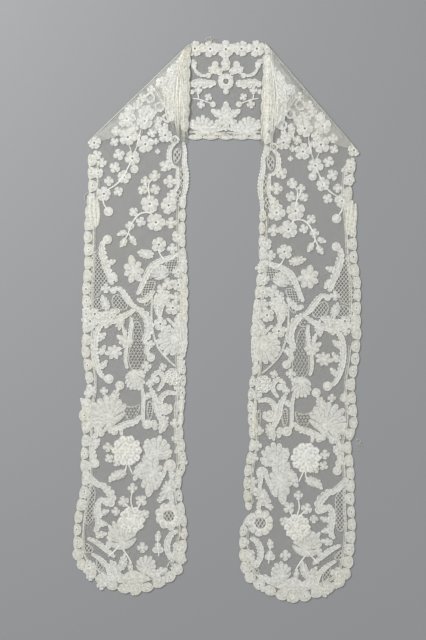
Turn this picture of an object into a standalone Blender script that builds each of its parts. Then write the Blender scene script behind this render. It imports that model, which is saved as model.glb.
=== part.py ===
"""A long stole of needle lace, folded at the shoulders and laid flat in a U.

The lace is one long strip. Its middle, the neck band, lies straight across. At each shoulder the strip is
folded under along a slanting line and comes back on top as a long front, which runs down to a rounded,
scalloped end. A triangular tuck lies between the neck band and each front, and takes up the turn.

+X runs across the stole, +Y from the ends towards the neck, +Z up. The origin is on the surface that the
stole lies on, under the middle of its outline. Places are given as millimetres across and millimetres
down from the top of the neck band. On a front, "side" is measured outwards from its own middle line.
"""

import math

import bmesh
import bpy
from mathutils import Vector
from mathutils.geometry import delaunay_2d_cdt, intersect_line_line_2d

MM = 0.001

# The cloth wall and how its layers lie on each other
WALL = 1.2
LAYER_GAP = 0.3
RAISED = 0.6
RAISED_BEVEL = 1.1
GATHER_RAISED = 0.9
COVER_MARGIN = 1.5
FOLD_SETBACK = 3.0
FOLD_LIP = 1.2
FOLD_ROUND = 2.6
FOLD_EDGE_SHARE = 0.42
FOLD_STEP = 7.0

# How far down the stretch reaches in which a front lies on other layers
DOUBLED_END = 205.0

# Scallops round the edges
FRONT_PITCH = 23.0
FRONT_DEPTH = 3.4
END_DEPTH = 6.0
END_STARTS = 925.0
NECK_TOP_PITCH = 27.0
NECK_TOP_DEPTH = 4.2
NECK_HEM_PITCH = 28.0
NECK_HEM_DEPTH = 4.0
TUCK_PITCH = 23.0
TUCK_DEPTH = 3.0

# Spacing of helper points in the cloth, and how close two of them may come
GRID = 13.0
CLOSEST = 0.9

# The edges of each front: millimetres down, then the outer and the inner edge across
LEFT_EDGES = (
    # (down, outer, inner)
    (180, -231.7, -54.4),
    (206, -231.3, -55.3),
    (232, -231.7, -55.1),
    (268, -231.0, -56.2),
    (306, -236.2, -58.0),
    (358, -238.7, -58.7),
    (403, -238.0, -55.3),
    (448, -241.6, -53.5),
    (520, -241.0, -54.7),
    (551, -243.9, -55.4),
    (566, -241.4, -63.0),
    (592, -238.0, -57.4),
    (625, -234.7, -58.3),
    (659, -243.4, -61.0),
    (673, -247.5, -61.6),
    (700, -241.6, -63.0),
    (727, -243.0, -59.2),
    (763, -244.8, -57.4),
    (794, -242.5, -66.0),
    (828, -250.2, -62.5),
    (862, -256.0, -56.2),
    (911, -257.8, -56.2),
    (929, -256.7, -59.8),
    (949, -247.0, -63.4),
    (963, -228.2, -72.4),
    (981, -202.5, -103.0),
    (990, -173.2, -129.0),
)
LEFT_TIP = (-151.6, 995.0)
RIGHT_EDGES = (
    # (down, outer, inner)
    (193, 249.8, 84.6),
    (232, 246.8, 83.0),
    (270, 241.5, 81.5),
    (306, 246.2, 77.8),
    (353, 249.5, 76.0),
    (398, 251.6, 76.0),
    (434, 257.0, 71.3),
    (502, 257.0, 64.0),
    (527, 257.8, 61.2),
    (554, 255.2, 64.0),
    (580, 253.4, 66.8),
    (617, 246.8, 58.5),
    (661, 249.8, 55.8),
    (695, 250.4, 57.6),
    (724, 240.0, 59.4),
    (774, 245.5, 50.0),
    (832, 245.5, 49.5),
    (849, 246.2, 59.0),
    (875, 248.0, 42.8),
    (923, 244.4, 41.9),
    (961, 237.2, 47.7),
    (974, 230.0, 59.0),
    (988, 207.7, 78.8),
    (999, 181.4, 103.5),
    (1006, 158.0, 122.0),
)
RIGHT_TIP = (139.0, 1008.5)

# The top corner of each fold, and how a front's inner edge runs down from there
LEFT_CORNER = (-47.2, 2.0)
RIGHT_CORNER = (86.0, 2.0)
LEFT_INNER_TOP = ((-49.0, 34.0), (-50.8, 88.0), (-53.5, 142.0))
RIGHT_INNER_TOP = ((86.4, 34.0), (86.0, 88.0), (85.0, 142.0))

# The neck band's own edges, and the corners of the tucks
NECK_TOP = 1.0
NECK_HEM = 176.0
LEFT_TUCK = ((-58.0, 26.0), (-121.0, 95.0), (-60.0, 168.0))
RIGHT_TUCK = ((95.0, 26.0), (154.0, 95.0), (94.0, 170.0))
TUCK_REACH = 6.0
NECK_REACH = 14.0

# Each front's middle line: across at its top and at its end, and the downs of these
LEFT_MIDDLE = (-142.0, 180.0, -153.0, 996.0)
RIGHT_MIDDLE = (168.0, 193.0, 137.0, 1009.0)

# Outlines of the raised motifs: lobes, how deep the notches are, and the width against the length
FORMS = {
    # name: (lobes, notch, width)
    "ball": (0, 0.0, 1.0),
    "leaf": (2, 0.18, 0.62),
    "trefoil": (3, 0.36, 1.0),
    "blossom": (5, 0.26, 1.0),
    "star": (5, 0.48, 1.0),
    "scroll": (4, 0.24, 0.8),
    "shell": (7, 0.22, 0.85),
    "palm": (9, 0.34, 0.8),
    "bouquet": (9, 0.16, 1.0),
    "rose": (8, 0.14, 1.0),
}

# The raised motifs of a front. The other front has the same, turned over
FRONT_MOTIFS = (
    # (form, side, down, size, turn)
    ("blossom", -12, 186, 15, 0),
    ("blossom", 17, 166, 12, 20),
    ("blossom", -20, 150, 12, 50),
    ("blossom", 10, 210, 13, 10),
    ("blossom", 33, 204, 9, 0),
    ("blossom", 41, 228, 10, 30),
    ("trefoil", 24, 243, 11, 0),
    ("leaf", 35, 271, 9, 30),
    ("blossom", 60, 274, 13, 0),
    ("ball", 51, 307, 7, 0),
    ("blossom", -50, 225, 10, 0),
    ("trefoil", -58, 253, 10, 0),
    ("trefoil", -31, 242, 9, 0),
    ("leaf", -7, 268, 9, 0),
    ("leaf", -33, 266, 10, 60),
    ("blossom", -22, 293, 15, 0),
    ("blossom", -56, 297, 14, 30),
    ("blossom", -35, 327, 15, 15),
    ("leaf", 6, 308, 9, 150),
    ("trefoil", -4, 325, 9, 0),
    ("leaf", 15, 336, 9, 120),
    ("leaf", 26, 361, 7, 120),
    ("leaf", 8, 358, 7, 60),
    ("trefoil", -41, 365, 12, 0),
    ("leaf", -19, 384, 11, 30),
    ("star", 5, 415, 19, 90),
    ("shell", -43, 422, 16, 0),
    ("leaf", 55, 470, 10, 90),
    ("star", 11, 540, 14, 0),
    ("star", 37, 558, 14, 40),
    ("blossom", -44, 511, 12, 0),
    ("shell", -58, 547, 20, 60),
    ("ball", -27, 567, 7, 0),
    ("ball", -20, 590, 8, 0),
    ("shell", 3, 608, 20, 90),
    ("ball", 30, 621, 8, 0),
    ("scroll", -43, 612, 12, 40),
    ("blossom", -68, 605, 12, 0),
    ("palm", 57, 661, 33, 20),
    ("ball", -23, 693, 9, 0),
    ("scroll", -54, 657, 14, 100),
    ("leaf", -40, 682, 11, 100),
    ("bouquet", 12, 736, 23, 0),
    ("blossom", -44, 728, 20, 0),
    ("scroll", -68, 764, 11, 0),
    ("leaf", 26, 783, 13, 110),
    ("leaf", -2, 779, 11, 80),
    ("palm", -38, 784, 24, 90),
    ("blossom", 1, 806, 9, 0),
    ("blossom", 18, 826, 10, 0),
    ("blossom", -14, 826, 10, 0),
    ("bouquet", 4, 868, 30, 0),
    ("rose", -62, 855, 26, 0),
    ("leaf", 62, 888, 11, 0),
    ("blossom", -17, 915, 9, 0),
    ("trefoil", -45, 914, 11, 0),
    ("blossom", -80, 913, 12, 0),
    ("blossom", 77, 946, 13, 0),
    ("leaf", 16, 936, 12, 70),
    ("leaf", 33, 955, 13, 60),
    ("shell", -30, 944, 16, 40),
    ("shell", -1, 971, 17, 90),
)

# The raised curved bands of a front: arcs about a centre, with their widths at both ends
FRONT_BANDS = (
    # (side, down, across radius, down radius, from, to, width at start, width at end)
    (20, 380, 47, 47, -18, 78, 9, 13),
    (23, 562, 50, 64, -46, 62, 12, 7),
    (-4, 516, 24, 32, 130, 226, 13, 8),
    (78, 822, 38, 42, -104, -196, 16, 9),
    (62, 864, 18, 34, 96, 190, 10, 15),
    (-84, 916, 28, 36, 8, -62, 8, 8),
    (-215, 654, 210, 210, -9, 6, 10, 12),
)

# The raised motifs of the neck band: form, millimetres across and down, size and turn
NECK_MOTIFS = (
    # (form, across, down, size, turn)
    ("blossom", 15.8, 72, 15, 0),
    ("trefoil", 14, 42, 12, 90),
    ("ball", -4, 42, 6, 0),
    ("ball", 33, 41, 6, 0),
    ("leaf", -7, 59, 8, 35),
    ("leaf", 37, 59, 8, 145),
    ("scroll", -26, 57, 9, 0),
    ("scroll", 56, 58, 9, 0),
    ("leaf", -20, 78, 12, 10),
    ("leaf", 50, 78, 12, 170),
    ("ball", 15, 95, 6, 0),
    ("blossom", -34, 96, 7, 0),
    ("blossom", -16, 104, 7, 0),
    ("blossom", -31, 116, 7, 0),
    ("blossom", 63, 97, 7, 0),
    ("blossom", 46, 105, 7, 0),
    ("blossom", 59, 117, 7, 0),
    ("blossom", 15, 133, 10, 90),
    ("leaf", -20, 149, 10, 20),
    ("leaf", 49, 149, 10, 160),
)

# Gathers that fan out from the top corner down a front's inner edge: how far in each one ends
GATHER_ENDS = (5.0, 10.5, 16.0, 21.5)
GATHER_TOP = 34.0
GATHER_FOOT = 150.0
GATHER_WIDTH = 3.4

# The rolled stretch of each front's inner edge
ROLL_DOWN = (640.0, 712.0)
ROLL_INSET = 10.0
ROLL_WIDTH = 6.0

# Openwork that is cut through: places of the holes in steps from the first, and the steps
HOLE_SIZE = 4.4
ROSE_HOLES = ((-1, 0), (0, 0), (1, 0), (-1.5, 1), (-0.5, 1), (0.5, 1), (1.5, 1), (-1, 2), (0, 2), (1, 2))
ROSE_FIRST = (-62.0, 849.4)
ROSE_STEP = (6.1, 5.6)
EDGE_HOLES = ((0, 0), (1, 0), (-0.2, 1), (0.8, 1), (-0.4, 2), (0.6, 2))
EDGE_FIRST = (-72.0, 204.0)
EDGE_STEP = (6.2, 6.0)

LACE_COLOUR = (0.74, 0.73, 0.64, 1.0)
NET_COLOUR = (0.62, 0.63, 0.58, 1.0)


def clear_scene():
    """Empties the scene, so that only the stole is in it."""
    for found in list(bpy.data.objects):
        bpy.data.objects.remove(found, do_unlink=True)


def lace_material(name, colour, roughness):
    """One plain finish for cloth."""
    material = bpy.data.materials.new(name)
    material.use_nodes = True
    shader = material.node_tree.nodes["Principled BSDF"]
    shader.inputs["Base Color"].default_value = colour
    shader.inputs["Roughness"].default_value = roughness
    shader.inputs["Metallic"].default_value = 0.0
    return material


def smooth_path(points, steps=6):
    """A curve through the points, as many short steps to each span."""
    path = []
    last = len(points) - 1
    for index in range(last):
        before = points[max(index - 1, 0)]
        start = points[index]
        end = points[index + 1]
        after = points[min(index + 2, last)]
        for step in range(steps):
            t = step / steps
            path.append(
                tuple(
                    0.5
                    * (
                        2 * b
                        + (c - a) * t
                        + (2 * a - 5 * b + 4 * c - d) * t * t
                        + (3 * b - a - 3 * c + d) * t * t * t
                    )
                    for a, b, c, d in zip(before, start, end, after)
                )
            )
    path.append(tuple(points[last]))
    return path


def even_steps(path, count):
    """Places and directions at even distances along a path: (x, down, direction x, direction down)."""
    lengths = [0.0]
    for start, end in zip(path, path[1:]):
        lengths.append(lengths[-1] + math.dist(start, end))
    found = []
    span = 0
    for step in range(count + 1):
        wanted = lengths[-1] * step / count
        while span < len(path) - 2 and lengths[span + 1] < wanted:
            span += 1
        start = path[span]
        end = path[span + 1]
        length = max(lengths[span + 1] - lengths[span], 1e-9)
        share = min((wanted - lengths[span]) / length, 1.0)
        direction = ((end[0] - start[0]) / length, (end[1] - start[1]) / length)
        place = (start[0] + (end[0] - start[0]) * share, start[1] + (end[1] - start[1]) * share)
        found.append(place + direction)
    return found


def path_length(path):
    return sum(math.dist(start, end) for start, end in zip(path, path[1:]))


def scalloped(path, pitch, depth_at, hand):
    """The path with a row of round scallops standing outwards. hand is 1 where outwards is to the right."""
    samples = 4
    scallops = max(round(path_length(path) / pitch), 1)
    edge = []
    for step, (x, down, along_x, along_down) in enumerate(even_steps(path, scallops * samples)):
        bulge = math.sin(math.pi * (step % samples) / samples) ** 0.7 - 0.5
        out = depth_at(down) * bulge
        edge.append((x + hand * along_down * out, down - hand * along_x * out))
    return edge


def front_depth(down):
    """How deep the scallops of a front are, this far down."""
    return END_DEPTH if down > END_STARTS else FRONT_DEPTH


def straight(start, end, spacing):
    """Points along a straight line, without its last."""
    count = max(round(math.dist(start, end) / spacing), 1)
    return [
        (start[0] + (end[0] - start[0]) * step / count, start[1] + (end[1] - start[1]) * step / count)
        for step in range(count)
    ]


def front_outline(corner, edges, tip, inner_top, hand):
    """All round a front: down the fold, down the outer edge, round the end and up the inner edge."""
    outer = [(across, down) for down, across, _ in edges]
    inner = [(across, down) for down, _, across in reversed(edges)]
    fold = straight(corner, outer[0], 24.0)
    free = smooth_path(outer + [tip] + inner + list(reversed(inner_top)) + [corner])
    below_corner = (corner[0], corner[1] + 2 * FOLD_LIP)
    return fold + scalloped(free, FRONT_PITCH, front_depth, hand)[:-1] + [below_corner]


def moved_in(start, end, towards, distance):
    """The line from start to end, moved sideways towards a point."""
    along = Vector((end[0] - start[0], end[1] - start[1])).normalized()
    side = Vector((-along.y, along.x))
    if side.dot(Vector((towards[0] - start[0], towards[1] - start[1]))) < 0:
        side = -side
    shift = side * distance
    return (start[0] + shift.x, start[1] + shift.y), (end[0] + shift.x, end[1] + shift.y)


def at_down(start, end, down):
    """Where a slanting line is, this far down."""
    share = (down - start[1]) / (end[1] - start[1])
    return (start[0] + (end[0] - start[0]) * share, down)


def neck_corners():
    """The neck band's four corners, clear of the folds: top left, top right, hem right, hem left."""
    middle = ((LEFT_CORNER[0] + RIGHT_CORNER[0]) / 2, NECK_HEM)
    left_fold = (LEFT_CORNER, (LEFT_EDGES[0][1], LEFT_EDGES[0][0]))
    right_fold = (RIGHT_CORNER, (RIGHT_EDGES[0][1], RIGHT_EDGES[0][0]))
    left_fold = moved_in(*left_fold, middle, FOLD_SETBACK)
    right_fold = moved_in(*right_fold, middle, FOLD_SETBACK)
    return (
        at_down(*left_fold, NECK_TOP),
        at_down(*right_fold, NECK_TOP),
        at_down(*right_fold, NECK_HEM),
        at_down(*left_fold, NECK_HEM),
    )


def neck_outline():
    """All round the neck band. Only the edges that show are scalloped."""
    top_left, top_right, hem_right, hem_left = neck_corners()
    shown_right = (RIGHT_INNER_TOP[-1][0], NECK_HEM)
    shown_left = (LEFT_INNER_TOP[-1][0], NECK_HEM)
    top_points = [top_left, (top_right[0], top_right[1])]
    top = scalloped(top_points, NECK_TOP_PITCH, lambda down: NECK_TOP_DEPTH, 1)[:-1]
    hem = scalloped([shown_right, shown_left], NECK_HEM_PITCH, lambda down: NECK_HEM_DEPTH, 1)
    return (
        top
        + straight(top_right, hem_right, 30.0)
        + straight(hem_right, shown_right, 30.0)
        + hem
        + straight(shown_left, hem_left, 30.0)[1:]
        + straight(hem_left, top_left, 30.0)
    )


def tuck_outline(corners, hand):
    """A tuck's triangle. Its lower edge, from the fold to the front's inner edge, is scalloped."""
    top, side, foot = corners
    lower = scalloped([side, foot], TUCK_PITCH, lambda down: TUCK_DEPTH, hand)
    return straight(top, side, 20.0) + lower + straight(foot, top, 20.0)[1:]


def is_inside(place, polygon):
    """Whether a place is inside a polygon."""
    x, y = place
    inside = False
    before = polygon[-1]
    for point in polygon:
        if (point[1] > y) != (before[1] > y):
            if x < (before[0] - point[0]) * (y - point[1]) / (before[1] - point[1]) + point[0]:
                inside = not inside
        before = point
    return inside


def distance_to_line(place, start, end):
    """The distance from a place to a straight stretch."""
    along_x = end[0] - start[0]
    along_y = end[1] - start[1]
    square = along_x * along_x + along_y * along_y
    share = 0.0
    if square > 0:
        share = ((place[0] - start[0]) * along_x + (place[1] - start[1]) * along_y) / square
        share = min(max(share, 0.0), 1.0)
    return math.hypot(place[0] - start[0] - along_x * share, place[1] - start[1] - along_y * share)


def distance_to_loop(place, polygon):
    """The distance from a place to the nearest side of a polygon."""
    return min(distance_to_line(place, polygon[i - 1], polygon[i]) for i in range(len(polygon)))


class Cover:
    """A layer that others lie over: its corners, the height of its top, and how far a fall from it reaches."""

    def __init__(self, corners, top, reach):
        self.corners = list(corners)
        self.top = top
        self.reach = reach

    def lift_at(self, place):
        """How high the underside of what lies over it is."""
        if is_inside(place, self.corners):
            return self.top + LAYER_GAP
        away = distance_to_loop(place, self.corners) - COVER_MARGIN
        return (self.top + LAYER_GAP) * min(max(1.0 - away / self.reach, 0.0), 1.0)

    def rings(self):
        """Lines round it where the fall from it starts and ends."""
        found = []
        for distance in (COVER_MARGIN, COVER_MARGIN + self.reach):
            ring = []
            centre = Vector((0.0, 0.0))
            for corner in self.corners:
                centre += Vector(corner) / len(self.corners)
            for index, end in enumerate(self.corners):
                start = self.corners[index - 1]
                away = (2 * start[0] - centre.x, 2 * start[1] - centre.y)
                first, last = moved_in(start, end, away, distance)
                ring.extend(straight(first, last, GRID))
            kept = [distance_to_loop(place, self.corners) > distance - 0.05 for place in ring]
            found.append([place if keep else None for place, keep in zip(ring, kept)])
        return found


class Fold:
    """The slanting edge where the strip turns under: its underside comes down to the surface."""

    def __init__(self, top, foot):
        self.top = top
        self.foot = foot

    def lip_at(self, place):
        """The share of its full height that the underside has here."""
        return min(distance_to_line(place, self.top, self.foot) / FOLD_LIP, 1.0)

    def round_at(self, place):
        """The share of its full height that the top has here."""
        share = min(distance_to_line(place, self.top, self.foot) / FOLD_ROUND, 1.0)
        return FOLD_EDGE_SHARE + (1.0 - FOLD_EDGE_SHARE) * math.sqrt(1.0 - (1.0 - share) ** 2)

    def lines(self, towards, distances):
        """Lines beside the fold, at these distances in from it."""
        return [straight(*moved_in(self.top, self.foot, towards, far), FOLD_STEP) for far in distances]


class Motif:
    """A lobed motif raised from the cloth, by its outline about its own middle."""

    def __init__(self, form, across, down, size, turn):
        self.lobes, self.notch, self.width = FORMS[form]
        self.centre = (across, down)
        self.size = size
        self.turn = math.radians(turn)
        self.height = RAISED

    def radius_at(self, angle):
        return self.size * (1.0 - self.notch * (0.5 - 0.5 * math.cos(self.lobes * angle)))

    def loop(self, inset):
        """Its outline, moved in by the inset."""
        count = 8 if self.lobes == 0 else max(self.lobes * 4, 8) if self.lobes < 7 else self.lobes * 2
        points = []
        for step in range(count):
            angle = 2 * math.pi * step / count
            radius = self.radius_at(angle) - inset
            x = radius * math.cos(angle)
            y = radius * math.sin(angle) * self.width
            points.append(
                (
                    self.centre[0] + x * math.cos(self.turn) - y * math.sin(self.turn),
                    self.centre[1] + x * math.sin(self.turn) + y * math.cos(self.turn),
                )
            )
        return points

    def rise_at(self, place):
        """How far it stands out of the cloth here."""
        x = place[0] - self.centre[0]
        y = place[1] - self.centre[1]
        along = x * math.cos(self.turn) + y * math.sin(self.turn)
        aside = (y * math.cos(self.turn) - x * math.sin(self.turn)) / self.width
        depth = self.radius_at(math.atan2(aside, along)) - math.hypot(along, aside)
        return self.height * min(max(depth / RAISED_BEVEL, 0.0), 1.0)


class Band:
    """A raised band along a path, such as a scroll or a gather."""

    def __init__(self, path, width_start, width_end, height):
        self.path = path
        self.height = height
        last = len(path) - 1
        self.halves = [(width_start + (width_end - width_start) * i / last) / 2 for i in range(last + 1)]

    def loop(self, inset):
        """Its outline, moved in by the inset."""
        right = []
        left = []
        last = len(self.path) - 1
        for index, place in enumerate(self.path):
            start = self.path[max(index - 1, 0)]
            end = self.path[min(index + 1, last)]
            length = math.dist(start, end)
            along = ((end[0] - start[0]) / length, (end[1] - start[1]) / length)
            half = self.halves[index] - inset
            shift = inset if index == 0 else -inset if index == last else 0.0
            x = place[0] + along[0] * shift
            y = place[1] + along[1] * shift
            right.append((x + along[1] * half, y - along[0] * half))
            left.append((x - along[1] * half, y + along[0] * half))
        return right + left[::-1]

    def rise_at(self, place):
        """How far it stands out of the cloth here."""
        depth = 0.0
        last = len(self.path) - 1
        for index in range(last):
            start = self.path[index]
            end = self.path[index + 1]
            length = math.dist(start, end)
            along = ((end[0] - start[0]) / length, (end[1] - start[1]) / length)
            x = place[0] - start[0]
            y = place[1] - start[1]
            far = x * along[0] + y * along[1]
            aside = abs(x * along[1] - y * along[0])
            share = min(max(far / length, 0.0), 1.0)
            half = self.halves[index] + (self.halves[index + 1] - self.halves[index]) * share
            before = far if index == 0 else far + half
            after = length - far if index == last - 1 else length - far + half
            depth = max(depth, min(half - aside, before, after))
        return self.height * min(max(depth / RAISED_BEVEL, 0.0), 1.0)


class Guides:
    """Helper points and edges inside a wall, which keep clear of each other."""

    def __init__(self, edges):
        self.edges = edges
        self.points = []
        self.links = []
        self.taken = []

    def is_free(self, place, clear):
        """Whether a place is inside the wall and clear of its edges and of what is already there."""
        if not is_inside(place, self.edges[0]) or any(is_inside(place, hole) for hole in self.edges[1:]):
            return False
        if min(distance_to_loop(place, edge) for edge in self.edges) < clear:
            return False
        if any(is_inside(place, loop) or distance_to_loop(place, loop) < clear for loop in self.taken):
            return False
        return all(math.dist(place, point) > clear for point in self.points)

    def crosses_edge(self, start, end):
        """Whether a straight way between two places leaves the wall, as across a notch between scallops."""
        return any(
            intersect_line_line_2d(start, end, edge[index - 1], edge[index])
            for edge in self.edges
            for index in range(len(edge))
        )

    def add_line(self, line, closed, clear=CLOSEST):
        """Adds a line of points, with an edge between each two neighbours that are both free."""
        free = [place is not None and self.is_free(place, clear) for place in line]
        places = {}
        for index, place in enumerate(line):
            if free[index]:
                places[index] = len(self.points)
                self.points.append(place)
        spans = range(len(line)) if closed else range(1, len(line))
        for index in spans:
            before = (index - 1) % len(line)
            if free[index] and free[before] and not self.crosses_edge(line[before], line[index]):
                self.links.append((places[before], places[index]))

    def add_raised(self, shape):
        """Adds the foot and the upper edge of a raised shape."""
        foot = shape.loop(0.0)
        upper = shape.loop(RAISED_BEVEL)
        self.add_line(foot, True)
        self.add_line(upper, True, clear=CLOSEST * 0.8)
        self.taken.append(foot)


def faces_within(faces, rim_links):
    """The faces inside the rims: a way in from outside crosses a rim once, and once more to reach a hole."""
    beside = {}
    for number, face in enumerate(faces):
        for index in range(len(face)):
            beside.setdefault(frozenset((face[index - 1], face[index])), []).append(number)
    crossed = {}
    waiting = []
    for link, numbers in beside.items():
        if len(numbers) == 1 and numbers[0] not in crossed:
            crossed[numbers[0]] = 1 if link in rim_links else 0
            waiting.append(numbers[0])
    while waiting:
        number = waiting.pop()
        face = faces[number]
        for index in range(len(face)):
            link = frozenset((face[index - 1], face[index]))
            for other in beside[link]:
                if other not in crossed:
                    crossed[other] = crossed[number] + (1 if link in rim_links else 0)
                    waiting.append(other)
    return [face for number, face in enumerate(faces) if crossed[number] % 2]


def triangulated(edges, guides):
    """The triangles of a wall's face: places, triples of their numbers, and each edge's own numbers."""
    places = []
    links = []
    for edge in edges:
        first = len(places)
        places.extend(edge)
        links.extend((first + i, first + (i + 1) % len(edge)) for i in range(len(edge)))
    first = len(places)
    places.extend(guides.points)
    links.extend((first + a, first + b) for a, b in guides.links)
    found = delaunay_2d_cdt([Vector(place) for place in places], links, [], 0, 1e-4)
    found_places = [(point.x, point.y) for point in found[0]]
    rim_links = {frozenset(pair) for pair, givens in zip(found[1], found[4]) if any(i < first for i in givens)}
    kept = faces_within([tuple(face) for face in found[2]], rim_links)
    number_of = {given: index for index, givens in enumerate(found[3]) for given in givens}
    for given, place in enumerate(places[:first]):
        found_places[number_of[given]] = place
    rims = []
    given = 0
    for edge in edges:
        rims.append([number_of[given + i] for i in range(len(edge))])
        given += len(edge)
    return found_places, kept, rims


class Wall:
    """One laid piece of the lace, from its outline, its holes, what it lies over and what is raised on it."""

    def __init__(self, name, outline, material):
        self.name = name
        self.edges = [outline]
        self.material = material
        self.base = 0.0
        self.covers = []
        self.fold = None
        self.raised = []

    def lift_at(self, place):
        """The height of the underside where the fold doesn't bend it down."""
        return max([self.base] + [cover.lift_at(place) for cover in self.covers])

    def underside_at(self, place):
        lift = self.lift_at(place)
        return lift * self.fold.lip_at(place) if self.fold else lift

    def top_at(self, place):
        rise = max([0.0] + [shape.rise_at(place) for shape in self.raised])
        height = self.lift_at(place) + WALL
        return (height * self.fold.round_at(place) if self.fold else height) + rise

    def drape_guides(self, guides, fold_distances):
        """Adds the lines and points along which the cloth comes down from the layers under it."""
        if self.fold:
            middle = (self.edges[0][0][0], DOUBLED_END)
            for line in self.fold.lines(middle, fold_distances):
                guides.add_line(line, False, clear=0.5)
        for cover in self.covers:
            for ring in cover.rings():
                guides.add_line(ring, True)
        if self.covers:
            low = min(x for x, _ in self.edges[0])
            high = max(x for x, _ in self.edges[0])
            for row in range(1, int(DOUBLED_END / GRID)):
                for column in range(int((high - low) / GRID) + 1):
                    guides.add_line([(low + (column + 0.5) * GRID, row * GRID)], False, clear=GRID * 0.4)

    def build(self, shift):
        """Makes the closed mesh: a plain underside, a raised top, and the edges between them."""
        lower = Guides(self.edges)
        self.drape_guides(lower, (FOLD_LIP,))
        upper = Guides(self.edges)
        for shape in self.raised:
            upper.add_raised(shape)
        self.drape_guides(upper, (FOLD_LIP * 0.6, FOLD_ROUND))
        mesh = bmesh.new()
        rims = []
        for guides, height_at, flip in ((lower, self.underside_at, True), (upper, self.top_at, False)):
            places, faces, numbers = triangulated(self.edges, guides)
            corners = [
                mesh.verts.new(((x - shift[0]) * MM, (shift[1] - down) * MM, height_at((x, down)) * MM))
                for x, down in places
            ]
            for face in faces:
                mesh.faces.new([corners[i] for i in (reversed(face) if flip else face)])
            rims.append([[corners[i] for i in rim] for rim in numbers])
        for under, over in zip(*rims):
            for index in range(len(under)):
                mesh.faces.new((under[index - 1], under[index], over[index], over[index - 1]))
        bmesh.ops.delete(mesh, geom=[v for v in mesh.verts if not v.link_faces], context="VERTS")
        bmesh.ops.recalc_face_normals(mesh, faces=mesh.faces)
        data = bpy.data.meshes.new(self.name)
        mesh.to_mesh(data)
        mesh.free()
        data.materials.append(self.material)
        piece = bpy.data.objects.new(self.name, data)
        return piece


def arc_path(centre, across_radius, down_radius, start, end, hand):
    """An arc about a centre, with its angles in degrees."""
    count = max(round(abs(end - start) / 14), 3)
    path = []
    for step in range(count + 1):
        angle = math.radians(start + (end - start) * step / count)
        path.append((centre[0] + hand * across_radius * math.cos(angle), centre[1] + down_radius * math.sin(angle)))
    return path


def middle_at(middle, down):
    """Where a front's middle line is, this far down."""
    top_across, top_down, end_across, end_down = middle
    return top_across + (end_across - top_across) * (down - top_down) / (end_down - top_down)


def hexagon(centre, size):
    """A small six-sided hole."""
    return [
        (
            centre[0] + size / 2 * math.cos(math.pi * step / 3),
            centre[1] + size / 2 * math.sin(math.pi * step / 3),
        )
        for step in range(6)
    ]


def make_front(name, corner, edges, tip, inner_top, middle, hand, covers, material):
    """A long front, which lies over the neck band and the tuck at its top."""
    wall = Wall(name, front_outline(corner, edges, tip, inner_top, hand), material)
    wall.covers = covers
    wall.fold = Fold(corner, (edges[0][1], edges[0][0]))
    lower = middle[1] - LEFT_MIDDLE[1]

    def place_on(side, down):
        return (middle_at(middle, down + lower) + hand * side, down + lower)

    for holes, first, step in ((ROSE_HOLES, ROSE_FIRST, ROSE_STEP), (EDGE_HOLES, EDGE_FIRST, EDGE_STEP)):
        for column, row in holes:
            place = place_on(first[0] + column * step[0], first[1] + row * step[1])
            wall.edges.append(hexagon(place, HOLE_SIZE))
    for end in GATHER_ENDS:
        start_x = corner[0] + hand * (2.5 + end * 0.3)
        foot_x = inner_top[-1][0] + hand * (end + 2.0)
        line = straight((start_x, GATHER_TOP), (foot_x, GATHER_FOOT), 28.0)
        wall.raised.append(Band(line + [(foot_x, GATHER_FOOT)], GATHER_WIDTH * 0.8, GATHER_WIDTH, GATHER_RAISED))
    for side, down, across_radius, down_radius, start, end, width_start, width_end in FRONT_BANDS:
        centre = place_on(side, down)
        path = arc_path(centre, across_radius, down_radius, start, end, hand)
        wall.raised.append(Band(path, width_start, width_end, RAISED))
    roll = []
    for down in (ROLL_DOWN[0], sum(ROLL_DOWN) / 2, ROLL_DOWN[1]):
        inner = min(edges, key=lambda row: abs(row[0] - down - lower))[2]
        roll.append((inner + hand * ROLL_INSET, down + lower))
    wall.raised.append(Band(roll, ROLL_WIDTH, ROLL_WIDTH, GATHER_RAISED))
    for form, side, down, size, turn in FRONT_MOTIFS:
        across, low = place_on(side, down)
        wall.raised.append(Motif(form, across, low, size, turn if hand > 0 else 180 - turn))
    return wall


def make_stole():
    """Every piece of the stole, in its own collection."""
    clear_scene()
    cloth = lace_material("clothwork", LACE_COLOUR, 0.85)
    net = lace_material("net", NET_COLOUR, 0.9)

    neck_cover = Cover(
        [(across, down if down < NECK_HEM else NECK_HEM + NECK_HEM_DEPTH / 2) for across, down in neck_corners()],
        WALL,
        NECK_REACH,
    )
    tuck_top = WALL + LAYER_GAP + WALL

    walls = []
    neck = Wall("neck_band", neck_outline(), cloth)
    neck.raised = [Motif(form, across, down, size, turn) for form, across, down, size, turn in NECK_MOTIFS]
    walls.append(neck)
    fronts = (
        ("left", LEFT_CORNER, LEFT_EDGES, LEFT_TIP, LEFT_INNER_TOP, LEFT_MIDDLE, -1, LEFT_TUCK),
        ("right", RIGHT_CORNER, RIGHT_EDGES, RIGHT_TIP, RIGHT_INNER_TOP, RIGHT_MIDDLE, 1, RIGHT_TUCK),
    )
    for side, corner, edges, tip, inner_top, middle, hand, tuck_corners in fronts:
        tuck = Wall(side + "_tuck", tuck_outline(tuck_corners, hand), net)
        tuck.base = WALL + LAYER_GAP
        walls.append(tuck)
        covers = [neck_cover, Cover(tuck_corners, tuck_top, TUCK_REACH)]
        walls.append(make_front(side + "_front", corner, edges, tip, inner_top, middle, hand, covers, cloth))

    around = [place for wall in walls for place in wall.edges[0]]
    across = [place[0] for place in around]
    down = [place[1] for place in around]
    shift = ((min(across) + max(across)) / 2, (min(down) + max(down)) / 2)

    pieces = bpy.data.collections.new("needle_lace_stole")
    bpy.context.scene.collection.children.link(pieces)
    for wall in walls:
        pieces.objects.link(wall.build(shift))


make_stole()
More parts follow.
